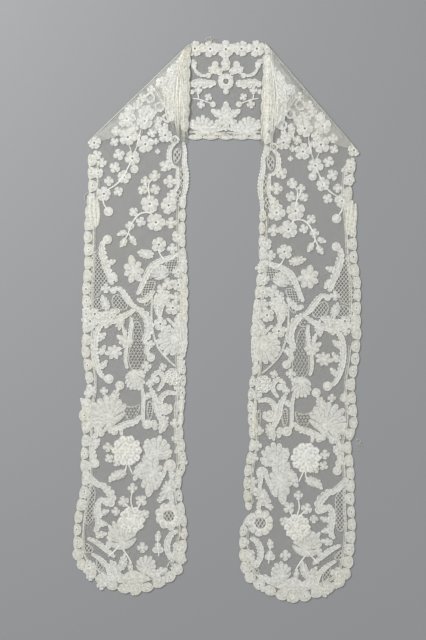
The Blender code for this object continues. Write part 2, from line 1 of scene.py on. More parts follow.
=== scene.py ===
"""Needle lace stole, folded at the shoulders and laid flat in a U, dressed as real lace.

Each stretch of the strip is a thin sheet of fine net with worked flowers, leaves, scrolls and open
fillings on it, and a chain of scalloped lobes along its edges. The pattern's places and sizes are
counted in squares, and lengths are millimetres from there until a mesh is made. A place is in
millimetres in the frame, where nothing else is said. Both fronts are worked from one set of places,
which lie as on the left front and are turned over for the right one.
"""

import logging
import math
import random
from collections.abc import Callable, Sequence
from dataclasses import dataclass, field
from enum import Enum

import bmesh
import bpy
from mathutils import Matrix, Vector
from mathutils.bvhtree import BVHTree
from mathutils.geometry import delaunay_2d_cdt


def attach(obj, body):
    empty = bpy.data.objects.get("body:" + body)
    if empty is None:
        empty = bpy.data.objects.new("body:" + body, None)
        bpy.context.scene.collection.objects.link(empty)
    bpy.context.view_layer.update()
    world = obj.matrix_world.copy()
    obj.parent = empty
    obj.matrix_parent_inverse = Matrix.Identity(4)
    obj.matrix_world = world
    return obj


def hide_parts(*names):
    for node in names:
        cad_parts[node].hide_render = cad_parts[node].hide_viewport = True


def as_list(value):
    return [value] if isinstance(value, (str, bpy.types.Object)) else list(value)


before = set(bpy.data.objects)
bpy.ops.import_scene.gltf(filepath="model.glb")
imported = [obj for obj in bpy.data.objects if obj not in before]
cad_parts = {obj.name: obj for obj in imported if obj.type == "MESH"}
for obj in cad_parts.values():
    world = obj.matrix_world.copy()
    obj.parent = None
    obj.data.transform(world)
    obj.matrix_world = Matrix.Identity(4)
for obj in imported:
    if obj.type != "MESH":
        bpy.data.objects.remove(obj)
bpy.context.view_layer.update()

LOG = logging.getLogger("stole")

MM = 0.001
Place = tuple[float, float]
Row = list[tuple[float, float, float]]

# The pattern has one square for each pixel of the photograph, counted right and down. The gap between
# the fronts is a neck's breadth in millimetres, and takes up 75 squares.
NECK_BREADTH = 135.0
SQUARE = NECK_BREADTH / 75
TOP_SQUARE = 41.0
MIDDLE_SQUARE = 217.2

# Middle lines of the left and the right front in squares, each from its fold's foot to its end
LEFT_MIDDLE = ((138.3, 141.0), (132.2, 594.3))
RIGHT_MIDDLE = ((310.5, 148.2), (293.3, 601.6))

# Where the frame's origin lies, in millimetres across from the middle square and down from the top one
ORIGIN_ACROSS = -0.486
ORIGIN_DOWN = 505.167

# How far the net lies over the underside of its wall, how far work on it is let into it, and how far
# apart the points inside it are
NET_LIFT = 0.45
LET_IN = 0.08
NET_STEP = 6.5

# Heights of worked cloth over the net: its flat, its outline cord, and a rolled edge
CLOTH_HEIGHT = 0.4
CORD_HEIGHT = 0.85
ROLL_HEIGHT = 0.65

# Name under which each mesh keeps how high its work stands over the net, in millimetres
# The worked depth group paints shade and highlight from these heights
WORKED_DEPTH = "worked_depth"

# The small unevenness of hand work
UNEVEN = random.Random(3)


class Slot(Enum):
    """The record's finishes, passed along with each piece."""

    CLOTHWORK = "clothwork"
    NET = "net"


class Held(Enum):
    """How a stretch of the strip lies."""

    FOLDED = "folded"
    LAID = "laid"


class Motif(Enum):
    """The kinds of worked motif."""

    FLOWER = "flower"
    SMALL = "small flower"
    TREFOIL = "three-lobed leaf"
    LEAF = "leaf"
    STAR = "star-shaped leaf"
    BALL = "ball"
    SHELL = "shell fan"
    PALM = "palm leaf"
    ACANTHUS = "toothed leaf"
    FAN = "narrow fan"
    VASE = "ribbed vase"
    BOUQUET = "bouquet"
    MEDALLION = "medallion with a lattice"


class Outline(Enum):
    """The kinds of worked band that follow a path."""

    STEM = "stem"
    THIN = "thin line"
    BAND = "band"
    SCROLL = "scroll"
    LEAFY = "leafy scroll"
    ROLL = "rolled edge"


class Filling(Enum):
    """The open fillings between the worked bands."""

    DIAMOND = "diamond lattice"
    BRICK = "brick mesh"
    HEX = "fine hexagon mesh"
    BOLD = "bold lattice"


MotifTable = dict[Motif, Sequence[tuple[float, ...]]]
BandTable = dict[Outline, Sequence[tuple[float, tuple[Place, ...]]]]


@dataclass(frozen=True)
class Form:
    """The shape of a motif: lobes round a centre, or fanned out from a base.

    lobes: how many lobes it has; none makes a plain oval
    notch: how deep the notches are, as a share of the radius
    power: low for pointed lobes, high for round ones
    width: breadth against length
    spread: the angle that the lobes take up, in degrees
    eye: radius of the pinhole in millimetres; none where it is 0
    slit: how far out from the middle the slits between lobes start, as a share; 1 for none
    dent: how deep the dent in each lobe's tip is, as a share of the radius
    """

    lobes: int
    notch: float
    power: float
    width: float = 1.0
    spread: float = 360.0
    eye: float = 0.0
    slit: float = 0.5
    dent: float = 0.0


FORMS = {
    Motif.FLOWER: Form(5, 0.28, 3.2, eye=1.7, slit=0.4, dent=0.07),
    Motif.SMALL: Form(4, 0.32, 2.6, slit=0.42, dent=0.05),
    Motif.TREFOIL: Form(3, 0.4, 2.2, slit=0.45),
    Motif.LEAF: Form(5, 0.2, 1.8, width=0.66, slit=0.35),
    Motif.STAR: Form(7, 0.33, 1.5, width=0.9, slit=0.3),
    Motif.BALL: Form(0, 0.0, 2.0),
    Motif.SHELL: Form(7, 0.16, 2.6, width=0.95, spread=150.0, slit=0.22),
    Motif.PALM: Form(10, 0.18, 2.4, width=0.95, spread=180.0, slit=0.2),
    Motif.ACANTHUS: Form(11, 0.24, 1.5, width=0.6, slit=0.3),
    Motif.FAN: Form(7, 0.16, 2.4, width=0.95, spread=104.0, slit=0.18),
    Motif.VASE: Form(9, 0.12, 2.2, width=0.95, spread=124.0, slit=0.2),
    Motif.BOUQUET: Form(12, 0.12, 2.6, slit=1.0),
    Motif.MEDALLION: Form(9, 0.12, 2.4, slit=1.0),
}

# How large a medallion's lattice is, and how far behind a fan's place its rows of stitches close in,
# as shares of the radius
MEDALLION_HEART = 0.55
FAN_CENTRE = 0.4

# A bouquet's small blooms: their form, their size, and each ring of them as a count and a distance from
# the middle; sizes and distances are shares of the bouquet's radius
BLOOM_FORM = Form(5, 0.16, 2.4, eye=1.5, slit=0.75)
BLOOM_SHARE = 0.26
BLOOM_RINGS = ((1, 0.0), (5, 0.42), (10, 0.82))

# The least ball, in millimetres of radius, that has a cord wound inside it, and the cord's steps
SPIRAL_LEAST = 6.5
SPIRAL_STEPS = 18

# The worked motifs of a front, as they lie on the left one
FRONT_MOTIFS = {
    # motif: (right, down, radius, turn) in squares and degrees; no turn is 0
    Motif.FLOWER: (
        (127, 119, 9.2, 10), (145, 121.5, 9, 40), (128, 137.5, 9), (145.5, 144.5, 8.8, 25),
        (165.5, 135.5, 7.5, 15), (132.5, 158.5, 8, 50), (124, 177, 7.2, 10), (104, 194, 7.6, 15),
        (94.5, 143, 7, 20), (98, 173, 6, 30), (150, 204, 9.8, 12), (168.8, 205.5, 9, 40),
        (156, 222.5, 9.8), (178.5, 237, 7), (159, 244.5, 8, 80), (178.5, 272, 6.4, 30),
        (178.5, 285, 7), (166, 296.5, 6.5), (95, 314, 5.8), (160.5, 324, 7.4, 20),
        (173, 308, 7.6), (89, 567, 7.4, 20), (179, 548, 7), (172.5, 72, 6, 10),
        (161.5, 83, 6), (167, 92, 5.6, 30),
    ),
    Motif.SMALL: (
        (116, 131.5, 5), (114.6, 142.3, 4.8, 30), (134, 129, 5, 10), (137.5, 137, 4, 30),
        (156, 141.5, 3.4), (157.7, 151.5, 3), (152, 133, 5, 20), (119.2, 154.6, 5.8, 20),
        (114.8, 167.6, 6, 60), (109, 181, 5), (118.5, 191.5, 5.2, 30), (97, 155, 5, 30),
        (102, 163, 5), (166, 166, 6.6, 60), (170, 181.5, 6.3), (155, 176, 5.6, 90),
        (145.4, 181, 4.6), (142.3, 190, 5, 150), (155.4, 189.4, 5.4, 20), (172, 195, 5.2),
        (133.8, 212.2, 5.2, 130), (140.8, 221.8, 5, 250), (130, 226, 5), (171, 223, 6),
        (172.4, 248.5, 5.4), (168.5, 284, 6.6, 20), (161.5, 289.5, 5.5, 40),
        (183, 261, 4.6), (106, 288.5, 5.2), (86.5, 309.5, 4.6, 20), (85.5, 320, 4.6),
        (93.5, 324, 4.6, 10), (151, 344, 4), (146.5, 366.5, 5.2), (142.5, 373.5, 4, 30),
        (181.5, 362, 4.4), (163, 367, 4.2, 20), (88.5, 393, 5), (174.5, 423.5, 4.6),
        (178, 388, 4.6), (150, 383.5, 4.4), (104, 391, 4.2), (108, 447.5, 5),
        (109, 458.5, 4.6, 30), (117, 462.5, 4.4, 60), (176.5, 438.5, 5.4), (178.5, 450.5, 4.6, 20),
        (178.5, 474.5, 4.6), (93.5, 456, 4.2), (132.6, 488.2, 5), (123.6, 501.8, 6, 20),
        (141.2, 500.4, 6, 50), (116, 511.6, 4.6), (145.4, 514, 4.8, 30), (142.5, 548, 5.6),
        (160, 500, 3.5), (182.5, 560, 4.6), (183.5, 534.5, 4.6), (101.5, 585.5, 4.8),
        (163.5, 580.5, 4.6), (90.5, 577, 4.6), (138, 105, 5), (131.5, 110, 4.4, 20),
        (180, 62, 4), (151.5, 90, 4.6), (142, 98, 4.6, 20), (129, 109, 4.4),
        (176.5, 297, 5), (183, 462.5, 4.6), (160, 129, 4.6),
    ),
    Motif.BALL: (
        (134.6, 169.2, 4.2), (108.5, 211.5, 4.8), (107.5, 239.5, 4.6), (113.5, 290.5, 3.4),
        (109, 379, 4.8), (120, 385.5, 4.6), (151, 357.4, 4.4), (147.2, 424.2, 5),
        (114.5, 431.5, 3.8), (101, 433, 3.8), (165.3, 406.5, 3.4), (170, 465.2, 5.8),
        (95, 463.5, 4.6), (106, 501.4, 4), (156.5, 380, 3.4),
    ),
    Motif.LEAF: (
        (122.8, 233, 4.8, 200), (123.8, 242.4, 5.2, 235), (133, 240, 5, 300), (111, 262.5, 5, 20),
        (114, 276.5, 5.4, 300), (103, 315.5, 6.5, 200), (112, 313, 7, 20), (109, 322, 6, 240),
        (178, 321, 7, 80), (124.5, 331.5, 4.2, 110), (101.5, 337, 5.4, 40), (102, 351, 5.4, 60),
        (103.4, 365, 5, 50), (84.5, 403, 5.5, 130), (88, 424, 6, 230), (98, 427, 6.2, 260),
        (110, 425.5, 5.6, 290), (154.5, 424.5, 5.5, 280), (148, 396, 5, 40), (112.5, 478, 4.6, 230),
        (138, 473.5, 6.6, 240), (149.5, 455, 5.6, 130), (167.5, 455, 5.6, 40), (96.5, 444, 5.4, 60),
        (100.6, 534.8, 5.8, 10), (109, 544.5, 5.6, 70), (158, 537, 5, 80), (104, 512.5, 5, 20),
        (102.5, 523.5, 5, 350), (118, 577.5, 6.5, 190), (142, 577, 7, 340), (125, 578, 6.5, 210),
        (152.5, 574, 6.6, 350), (161, 571.5, 6.4, 20), (108.5, 578.5, 6.4, 230), (130.5, 567, 4.6, 95),
        (172.5, 556.5, 5.6, 60), (146, 109.5, 6.4, 200), (152, 114, 6.2, 230), (158.5, 121.5, 5.8, 250),
        (165.5, 127.5, 5, 260), (170.5, 87.5, 5.2, 70), (166, 330, 6, 45), (147, 447.5, 6, 100),
        (145.5, 458, 5, 60), (177, 483.5, 5, 250), (182, 402, 5, 80), (92.5, 390, 5.4, 120),
    ),
    Motif.ACANTHUS: (
        (146.5, 254, 8.6, 168), (105.5, 304, 8, 110), (120.5, 320.5, 8.5, 262), (114, 397.5, 8.5, 62),
        (163.5, 424, 9, 250), (118.8, 474.6, 8.8, 200), (151.5, 474, 19, 262), (142.5, 466.5, 9, 215),
        (115.5, 569, 9.5, 120), (123, 563, 8, 80), (158, 301, 9, 75), (168.5, 489, 11.5, 242),
        (112, 579, 8.5, 220),
    ),
    Motif.STAR: ((133.6, 270.8, 12.4, 100), (126, 341, 8.6, 150), (114.2, 352, 8.4, 190)),
    Motif.SHELL: ((160.5, 272.5, 9, 110), (161, 301, 8, 140), (170.5, 341.5, 15, 215),
                  (157.8, 448.6, 14, 80), (146.5, 565.5, 11, 62)),
    Motif.PALM: ((105.5, 413, 19, 130),),
    Motif.FAN: ((135, 379.5, 13, 270), (133, 581, 14, 270)),
    Motif.VASE: ((121.5, 536.5, 17, 99),),
    Motif.BOUQUET: ((173, 377, 8.5, 90), (127, 450.5, 14.5, 90), (132, 520, 12.6, 90)),
    Motif.TREFOIL: ((158, 548.6, 5.8, 90),),
    Motif.MEDALLION: ((150.5, 98, 5.6), (160, 107, 5.4), (167.5, 118, 5.2), (175, 140, 4.6)),
}

# The worked bands of a front, each through a few places
FRONT_BANDS = {
    # outline: (width, path) in squares
    Outline.STEM: (
        (1.2, ((141, 129), (139, 140), (136, 149), (134, 153))),
        (1.2, ((129, 145), (131, 150), (132, 153))),
        (1.8, ((132, 160), (127, 170), (124, 176), (117, 184), (106, 191))),
        (1.8, ((103, 197), (104, 204), (108, 210))),
        (1.8, ((150, 201), (149, 190), (149, 184), (154, 177))),
        (1.8, ((149.5, 194), (146.5, 187), (145, 182))),
        (2, ((156, 220), (150, 213), (141, 213.5), (135, 219), (131, 226), (128.5, 233), (124, 242))),
        (1.8, ((128.5, 233), (133, 240))),
        (1.8, ((158, 249), (162, 257), (169, 260), (178, 254))),
        (1.6, ((150, 141), (154, 141))),
        (1.8, ((133, 490), (131, 500), (133, 509), (136, 516))),
        (1.8, ((125, 504), (130, 508))),
        (1.8, ((141, 503), (136, 511))),
        (1.9, ((121, 544), (114.5, 551), (108, 557))),
        (1.9, ((121, 547), (127, 555), (132, 564))),
        (1.8, ((158, 534), (158, 545), (159, 557))),
        (1.8, ((127, 463), (125, 472), (121, 477))),
        (1.8, ((128, 463), (133, 475))),
        (1.8, ((116.5, 352), (123, 348))),
    ),
    Outline.THIN: (
        (2.2, ((152.5, 296), (151.5, 315), (153, 332), (158, 347), (166.5, 358), (176, 367))),
        (1.6, ((153, 88), (160, 98), (167, 109), (173, 119))),
        (1.6, ((159, 83), (166, 92), (173, 103))),
    ),
    Outline.BAND: (
        (4, ((178, 166), (177.4, 176), (177.6, 186), (173.8, 193), (173.4, 203))),
        (4, ((127.5, 343), (126, 352), (125.6, 361), (127.5, 369))),
        (9, ((176, 64), (170.5, 82), (168.5, 102), (171, 122))),
        (7, ((183, 292), (184, 308), (183, 324), (184, 342), (182, 358))),
        (5.5, ((163, 303), (160, 311), (159.5, 318))),
        (3.4, ((166.5, 318), (173, 324), (178, 332), (181, 341))),
        (4.2, ((141.5, 386), (143.5, 398), (143, 411), (143.5, 421), (147, 424.5))),
        (6.4, ((84, 470), (89, 477), (94.5, 482), (101, 487))),
    ),
    Outline.SCROLL: (
        (5, ((179, 64), (173, 70), (167, 78), (162, 84))),
        (6.5, ((181, 253), (170, 257.5), (160, 261), (151, 267), (145.5, 277), (141, 287), (137, 295))),
        (6, ((113, 289), (120, 289.5), (126, 297), (132, 305), (139, 309))),
        (6.5, ((86, 316), (95, 320), (106, 322), (117, 320), (127, 315), (136, 309))),
        (5.5, ((143, 341), (148, 345), (146.4, 351), (150.4, 357))),
        (6, ((136.5, 299), (143, 301), (149, 297), (154.5, 290))),
        (5.5, ((165, 296), (159, 303), (157, 311), (160, 317))),
        (4.5, ((131, 343), (130.5, 333), (132, 324), (131, 317))),
        (5, ((152, 383), (153.6, 376), (159.5, 372.6), (163.5, 379), (161, 386), (157, 391))),
        (6, ((178, 394), (168, 392.5), (161, 398), (159.5, 407), (164, 412.5), (170.5, 410), (170, 404))),
        (4, ((124, 424), (121, 430), (122, 436))),
        (4.6, ((166, 462), (164, 472), (160, 480), (157.5, 488))),
        (5, ((175, 463), (171, 472), (172, 482))),
        (5.5, ((87, 538), (97, 543), (106, 550), (115, 557.5))),
        (5, ((91, 553.5), (101, 560), (107.5, 568), (110, 581))),
        (4.5, ((165, 486), (171, 496), (170, 505), (165, 509))),
    ),
    Outline.LEAFY: (
        (5.4, ((183, 142), (184.6, 151), (184.2, 162), (185.8, 173), (185.8, 184), (184, 194), (183, 205))),
        (5, ((177, 168), (171.5, 164), (169.6, 156), (171, 148), (176, 143))),
        (7.6, ((106, 240), (102, 245), (102.4, 254), (105, 264), (109, 275), (112, 285))),
        (8.5, ((137, 308), (144.5, 315), (148.5, 325), (147, 335), (143, 342))),
        (6.5, ((109, 321), (101, 325), (96, 334), (94.4, 350), (96.5, 364), (101, 375), (107, 379.6))),
        (6.5, ((150, 388), (154.5, 397), (156, 407), (159, 416), (163, 424))),
        (6.5, ((141, 415), (135, 421.5), (126, 424), (117, 427.5), (108, 432))),
        (6.5, ((97.5, 431), (93, 441), (92, 452), (95, 463))),
        (8, ((99, 483), (106, 489), (111, 496), (110.5, 503.5), (106, 503))),
        (7, ((103, 497), (98, 504), (97.4, 514), (98, 525), (94, 532))),
        (6.5, ((179, 530.5), (172, 533.5), (167.5, 541), (167, 550), (171, 560))),
    ),
}

# The open fillings of a front, each inside a few corners
FRONT_FILLINGS = {
    # filling: corners in squares
    Filling.DIAMOND: (
        ((94, 252), (98, 250), (102, 262), (106.5, 274), (109, 284), (103, 287), (99.5, 296), (91, 298),
         (86.5, 288), (86, 273)),
        ((91, 301), (101, 297), (108, 302), (104, 309), (94, 310), (88.5, 306)),
        ((112.5, 296), (119, 294), (127, 302), (128, 309), (119, 311), (112, 306)),
        ((86, 483), (91, 482), (96, 491), (94, 503), (93.5, 521), (86, 526), (84.5, 508)),
        ((81, 545), (86, 542.5), (94, 548.5), (92, 553), (83, 552)),
        ((96, 558), (101, 562), (105, 571), (102.5, 577.5), (97, 570)),
    ),
    Filling.BRICK: (
        ((165, 262), (178.5, 258), (179.5, 269), (170, 274), (164, 270)),
        ((152, 270), (158.5, 263.5), (162, 266), (154, 277), (149, 279)),
        ((144, 283), (156, 280.5), (155, 288), (147, 295.5), (140.5, 296)),
        ((144, 303), (152, 296), (151.5, 302), (145, 307)),
        ((147.5, 402), (151.5, 401), (153.5, 412), (150, 421), (147, 414)),
        ((154.5, 86), (157, 84), (174, 109), (171.5, 112)),
    ),
    Filling.HEX: (
        ((129, 313), (135, 309.5), (141, 314), (139, 320), (131, 319)),
        ((133, 322), (139, 321), (142, 331), (143.5, 341), (146.5, 348), (145, 358), (144, 369), (132, 371),
         (128.5, 362), (129, 350), (133.5, 342)),
        ((118.5, 400.5), (126, 406.5), (134, 407.5), (141, 403.5), (138, 413.5), (132.5, 423), (126, 417)),
        ((168.5, 562), (173.5, 560), (175, 567), (169, 578), (165.5, 573)),
        ((174, 404), (177.5, 402), (178, 418), (174.5, 421)),
    ),
    Filling.BOLD: (
        ((173.5, 152), (178.5, 147.5), (181.5, 151), (179.5, 161), (174.5, 164)),
        ((180, 167), (184.5, 169), (185.5, 179), (183.5, 188), (180, 185)),
        ((175.5, 191), (181.5, 190), (181, 200), (175, 202)),
        ((174, 325.5), (180.5, 328), (181, 338), (176.5, 335)),
    ),
}

# The rose near each end: its place, and in millimetres the radii of the rose, its open heart and the
# small ring on each petal
ROSE_AT = (169.0, 516.0)
ROSE_RADIUS = 25.0
ROSE_HEART = 10.5
ROSE_FORM = Form(9, 0.16, 2.6, slit=0.62)
ROSE_RING = 4.6
RING_FORM = Form(0, 0.0, 2.0, eye=0.8, slit=1.0)
CENTRE_FORM = Form(12, 0.07, 2.0, slit=1.0)

# The neck band's motifs, measured from its middle; one with a place to one side is worked on both
NECK_MIDDLE = 226.0
NECK_MOTIFS = {
    # motif: (from the middle, down, radius, turn) in squares and degrees; no turn is 0
    Motif.FLOWER: (
        (0, 49.4, 9, 90), (15.6, 49, 8.4, 70), (31, 48.8, 8.4, 100), (51, 71, 6, 20), (54, 82, 6.4),
        (68, 91, 5.8), (46.5, 94.5, 7.4), (84, 111, 6.6, 40), (93, 121, 6.6, 10), (70, 126.5, 6.4, 20),
        (88, 131, 6),
    ),
    Motif.SMALL: (
        (8, 48, 4.6), (23.4, 48, 4.6), (27.5, 90.5, 4.2), (17.5, 97, 4, 30), (25, 104.6, 4.2, 10),
        (44.5, 64, 4.6), (58, 76, 4.2), (61, 86, 4.4, 20), (58, 96, 5, 30), (79.5, 124, 5),
        (49, 112, 6), (46.5, 122, 5.4), (101, 129, 5), (75, 104, 4.8, 10), (64, 108, 4.6),
        (33, 124, 4.6),
    ),
    Motif.BALL: (
        (10.6, 64.4, 3.4), (17.6, 75.6, 2.8), (0, 91.6, 3), (13, 104.4, 3),
        (32, 66, 2.8), (34, 92, 2.6), (0, 117.8, 3.4),
    ),
    Motif.LEAF: (
        (0, 64.5, 7.4, 90), (8.4, 70.6, 6.6, 28), (14.6, 71, 4, 60), (34, 62, 4.4, 200),
        (0, 110.6, 7.6, 90), (7.2, 114, 7, 28), (6.8, 123, 6.6, 325), (0, 125.4, 5.2, 270),
        (78, 116, 6.6, 250), (71, 116, 6.2, 280), (86, 122, 6, 200),
    ),
    Motif.SHELL: ((23, 126.4, 11.5, 90),),
}
NECK_BANDS = {
    # outline: (width, path) in squares, from the middle
    Outline.SCROLL: (
        (3.4, ((32, 66), (30, 71), (25, 75), (18, 75.6))),
        (5, ((40, 61), (49, 66), (57, 73), (65, 83), (74, 94))),
    ),
    Outline.LEAFY: (
        (8.4, ((36, 85), (28, 82.4), (19, 83.6), (9.5, 82.6))),
        (5.4, ((1.5, 128.6), (12, 130.2), (24, 129.4), (37, 126))),
    ),
    Outline.STEM: (
        (1.5, ((33, 98.6), (27, 99.4), (20, 101.6), (13.4, 104.4))),
        (1.5, ((27, 99.4), (28, 94))),
    ),
    Outline.THIN: ((1.6, ((0, 132.8), (18, 133.2), (37, 132))),),
}

# The round medallion at the middle: how far down it lies, in squares, and then in millimetres its
# radius, that of its open heart, and the places and width of the bars across the heart
CENTRE_DOWN = 81.4
CENTRE_RADIUS = 15.0
CENTRE_HEART = 4.8
CENTRE_BARS = (-1.6, 1.6)
CENTRE_BAR = 1.5

# The lens-shaped medallions along the neck band's hem, in squares, each open and with a lattice, and
# how far down the hem's edge starts
HEM_MEDALLIONS = (207.6, 223.8, 237.5, 251.5)
HEM_DOWN = 136.4
HEM_LENS = (6.2, 2.3)
HEM_TOP = 126.0

# The tucks' work, as it lies on the left one; the right one is turned over about this line
TUCK_MIDDLE = 226.6
TUCK_MOTIFS = {
    # motif: (right, down, radius, turn) in squares and degrees; no turn is 0
    Motif.FLOWER: ((170.5, 80, 6.4), (178, 104, 6, 30)),
    Motif.SMALL: ((178, 71, 5, 20), (164, 86, 4.6), (169, 94, 4.8), (180, 116, 4.4)),
    Motif.LEAF: ((177, 90, 6.4, 60),),
}
TUCK_BANDS = {
    # outline: (width, path) in squares
    Outline.LEAFY: ((5, ((157, 95), (163, 104), (170, 113), (178, 122))),),
}

# Width in millimetres of the bright line along a fold, where the cloth turns over
FOLD_LINE = 1.7

# How far in from a fold the net lies double, in millimetres: at its ends, and how much more at its
# middle; how high it lies over the net, and in how many steps its edge is drawn
DOUBLE_LEAST = 6.0
DOUBLE_REACH = 44.0
DOUBLE_LIFT = 0.15
DOUBLE_STEPS = 30

# Rolled stretches of a front's edges
ROLLS = (
    # (width, path) in squares
    (4.4, ((90.5, 196), (90, 208), (91, 221), (93, 230))),
    (4.6, ((93.6, 193), (94.2, 206), (94.8, 218), (96.4, 228))),
    (4, ((97, 197), (97.8, 207), (98.4, 217), (97.6, 226))),
    (4, ((180.4, 394), (181.4, 406), (181, 420), (179.8, 432))),
)

# Loose threads, each a path in squares
THREADS = (
    ((210.5, 43), (209.5, 40.5), (207.8, 38.8), (208.8, 37), (210.5, 38.8)),
    ((211.6, 43), (211.6, 40), (213.3, 37.7), (214.4, 39.3), (216, 38.8)),
    ((209.4, 42.7), (207.2, 41), (206, 39.3), (206.6, 37.7)),
    ((210, 43.8), (211, 39.3), (210.5, 37), (212.2, 36.6)),
    ((185, 166.5), (187.2, 167), (188.3, 169.3), (186.6, 172), (185.5, 173.2)),
    ((185.5, 170), (187.8, 171), (188.8, 173.2)),
    ((185.5, 255.4), (187.2, 257.6), (186.6, 261)),
    ((89, 192), (85.5, 194.3), (84.4, 198.2), (86, 202), (88.3, 202.7)),
    ((261, 191), (259, 192.7), (257.8, 196), (259.4, 198.8)),
    ((260.5, 245.4), (258.3, 247.6), (259, 251.5)),
    ((250.5, 396.5), (248.3, 398.8), (249, 402.6)),
    ((356, 440), (358.3, 438.8), (360.5, 441), (358.8, 443.8), (357.2, 442)),
    ((355.5, 443), (357.8, 445.4), (361, 444.8), (362.2, 447)),
    ((355, 446.5), (356.6, 449.3), (360, 449.9)),
)


def frame_place(right: float, down: float) -> Place:
    """Turns a place on the pattern, in squares, into millimetres in the frame."""
    return (right - MIDDLE_SQUARE) * SQUARE - ORIGIN_ACROSS, ORIGIN_DOWN - (down - TOP_SQUARE) * SQUARE


def level_of(y: float) -> float:
    """How far down the pattern, in squares, a place in the frame lies."""
    return TOP_SQUARE + (ORIGIN_DOWN - y) / SQUARE


def middle_at(line: tuple[Place, Place], down: float) -> float:
    """Where a middle line, given by its two ends, lies at one level of the pattern."""
    (top, top_down), (end, end_down) = line
    return top + (end - top) * (down - top_down) / (end_down - top_down)


def between(start: Place, end: Place, share: float) -> Place:
    """A place on the straight way from one place to another."""
    return start[0] + (end[0] - start[0]) * share, start[1] + (end[1] - start[1]) * share


def moved(place: Place, direction: Place, distance: float) -> Place:
    """A place moved by a distance in a direction that is one long."""
    return place[0] + direction[0] * distance, place[1] + direction[1] * distance


def on_circle(middle: Place, radius: float, angle: float, hand: int = 1) -> Place:
    """A place on a circle at an angle in radians, turned over where the hand is -1."""
    return middle[0] + hand * radius * math.cos(angle), middle[1] + radius * math.sin(angle)


def headings(points: list[Place]) -> list[Place]:
    """The direction of a path at each of its points.

    Args:
        points: the path's points.

    Returns:
        Directions that are one long.
    """
    found = []
    for before, after in zip(points[:1] + points, points[1:] + points[-1:]):
        run = math.dist(before, after) or 1.0
        found.append(((after[0] - before[0]) / run, (after[1] - before[1]) / run))
    return found


@dataclass(frozen=True)
class Fold:
    """A straight fold at a shoulder, past which no work stands out.

    corner: its top corner, in squares
    foot: its outer end, in squares
    hand: 1 at the left shoulder, -1 at the right one
    margin: how far inside the fold the work ends, in millimetres
    """

    corner: Place
    foot: Place
    hand: int
    margin: float = 0.5

    def ends(self) -> tuple[Place, Place]:
        """Its corner and foot as places."""
        return frame_place(*self.corner), frame_place(*self.foot)

    def outward(self) -> Place:
        """The direction out of the cloth.

        Returns:
            How far across and up it points, one long.
        """
        (ax, ay), (bx, by) = self.ends()
        run = math.dist((ax, ay), (bx, by))
        return -self.hand * abs(ay - by) / run, abs(ax - bx) / run

    def depth_at(self, x: float, y: float) -> float:
        """How far inside the fold a place in the frame lies, in millimetres."""
        (ax, ay), (right, up) = self.ends()[0], self.outward()
        return (ax - x) * right + (ay - y) * up

    def kept_in(self, x: float, y: float) -> Place:
        """A place in the frame, moved in from past the fold."""
        return moved((x, y), self.outward(), -max(self.margin - self.depth_at(x, y), 0.0))


LEFT_FOLD = Fold((191.0, 42.1), (88.5, 141.0), 1)
RIGHT_FOLD = Fold((265.0, 42.1), (356.0, 148.2), -1)


def smooth_path(places: tuple[Place, ...] | list[Place], steps: int = 5) -> list[Place]:
    """A smooth curve through some places.

    Args:
        places: the places that it goes through, in order.
        steps: how many short runs each stretch between two places gets.

    Returns:
        The places along the curve, both ends included.
    """
    if len(places) < 3:
        return [between(places[0], places[-1], i / steps) for i in range(steps + 1)]
    guided = [places[0], *places, places[-1]]
    curve = []
    for before, start, end, after in zip(guided, guided[1:], guided[2:], guided[3:]):
        for step in range(steps):
            t = step / steps
            curve.append(tuple(
                0.5 * (2 * start[k] + (end[k] - before[k]) * t
                       + (2 * before[k] - 5 * start[k] + 4 * end[k] - after[k]) * t * t
                       + (3 * start[k] - before[k] - 3 * end[k] + after[k]) * t ** 3)
                for k in (0, 1)))
    curve.append(tuple(places[-1]))
    return curve


def is_inside(place: Place, corners: list[Place]) -> bool:
    """Whether a place is inside a closed outline.

    Args:
        place: the place.
        corners: the outline's corners.

    Returns:
        True inside.
    """
    x, y = place
    inside = False
    for (ax, ay), (bx, by) in zip(corners, corners[1:] + corners[:1]):
        if (ay > y) != (by > y) and x < ax + (y - ay) * (bx - ax) / (by - ay):
            inside = not inside
    return inside


def rounded(corners: list[Place]) -> list[Place]:
    """A closed outline with its corners rounded off.

    Args:
        corners: its corners.

    Returns:
        A smooth outline inside them.
    """
    for _ in range(2):
        pairs = list(zip(corners, corners[1:] + corners[:1]))
        corners = [between(near, far, share) for near, far in pairs for share in (0.25, 0.75)]
    return corners


def oval(middle: Place, across: float, up: float, count: int = 28) -> list[Place]:
    """A closed outline round a middle, with its reach across and up."""
    turns = [2 * math.pi * i / count for i in range(count)]
    return [(middle[0] + across * math.cos(turn), middle[1] + up * math.sin(turn)) for turn in turns]


def crossings(corners: list[Place], foot: Place, along: Place) -> list[float]:
    """Where a straight line crosses a closed outline.

    Args:
        corners: the outline's corners.
        foot: a place on the line.
        along: the line's direction, one long.

    Returns:
        Distances along the line from the foot, in order.
    """
    found = []
    for near, far in zip(corners, corners[1:] + corners[:1]):
        left = (near[0] - foot[0]) * along[1] - (near[1] - foot[1]) * along[0]
        right = (far[0] - foot[0]) * along[1] - (far[1] - foot[1]) * along[0]
        if (left > 0) != (right > 0):
            x, y = between(near, far, left / (left - right))
            found.append((x - foot[0]) * along[0] + (y - foot[1]) * along[1])
    return sorted(found)


def signed_area(corners: list[Place]) -> float:
    """The area of a closed outline, negative where it runs clockwise."""
    pairs = zip(corners, corners[1:] + corners[:1])
    return 0.5 * sum(ax * by - bx * ay for (ax, ay), (bx, by) in pairs)


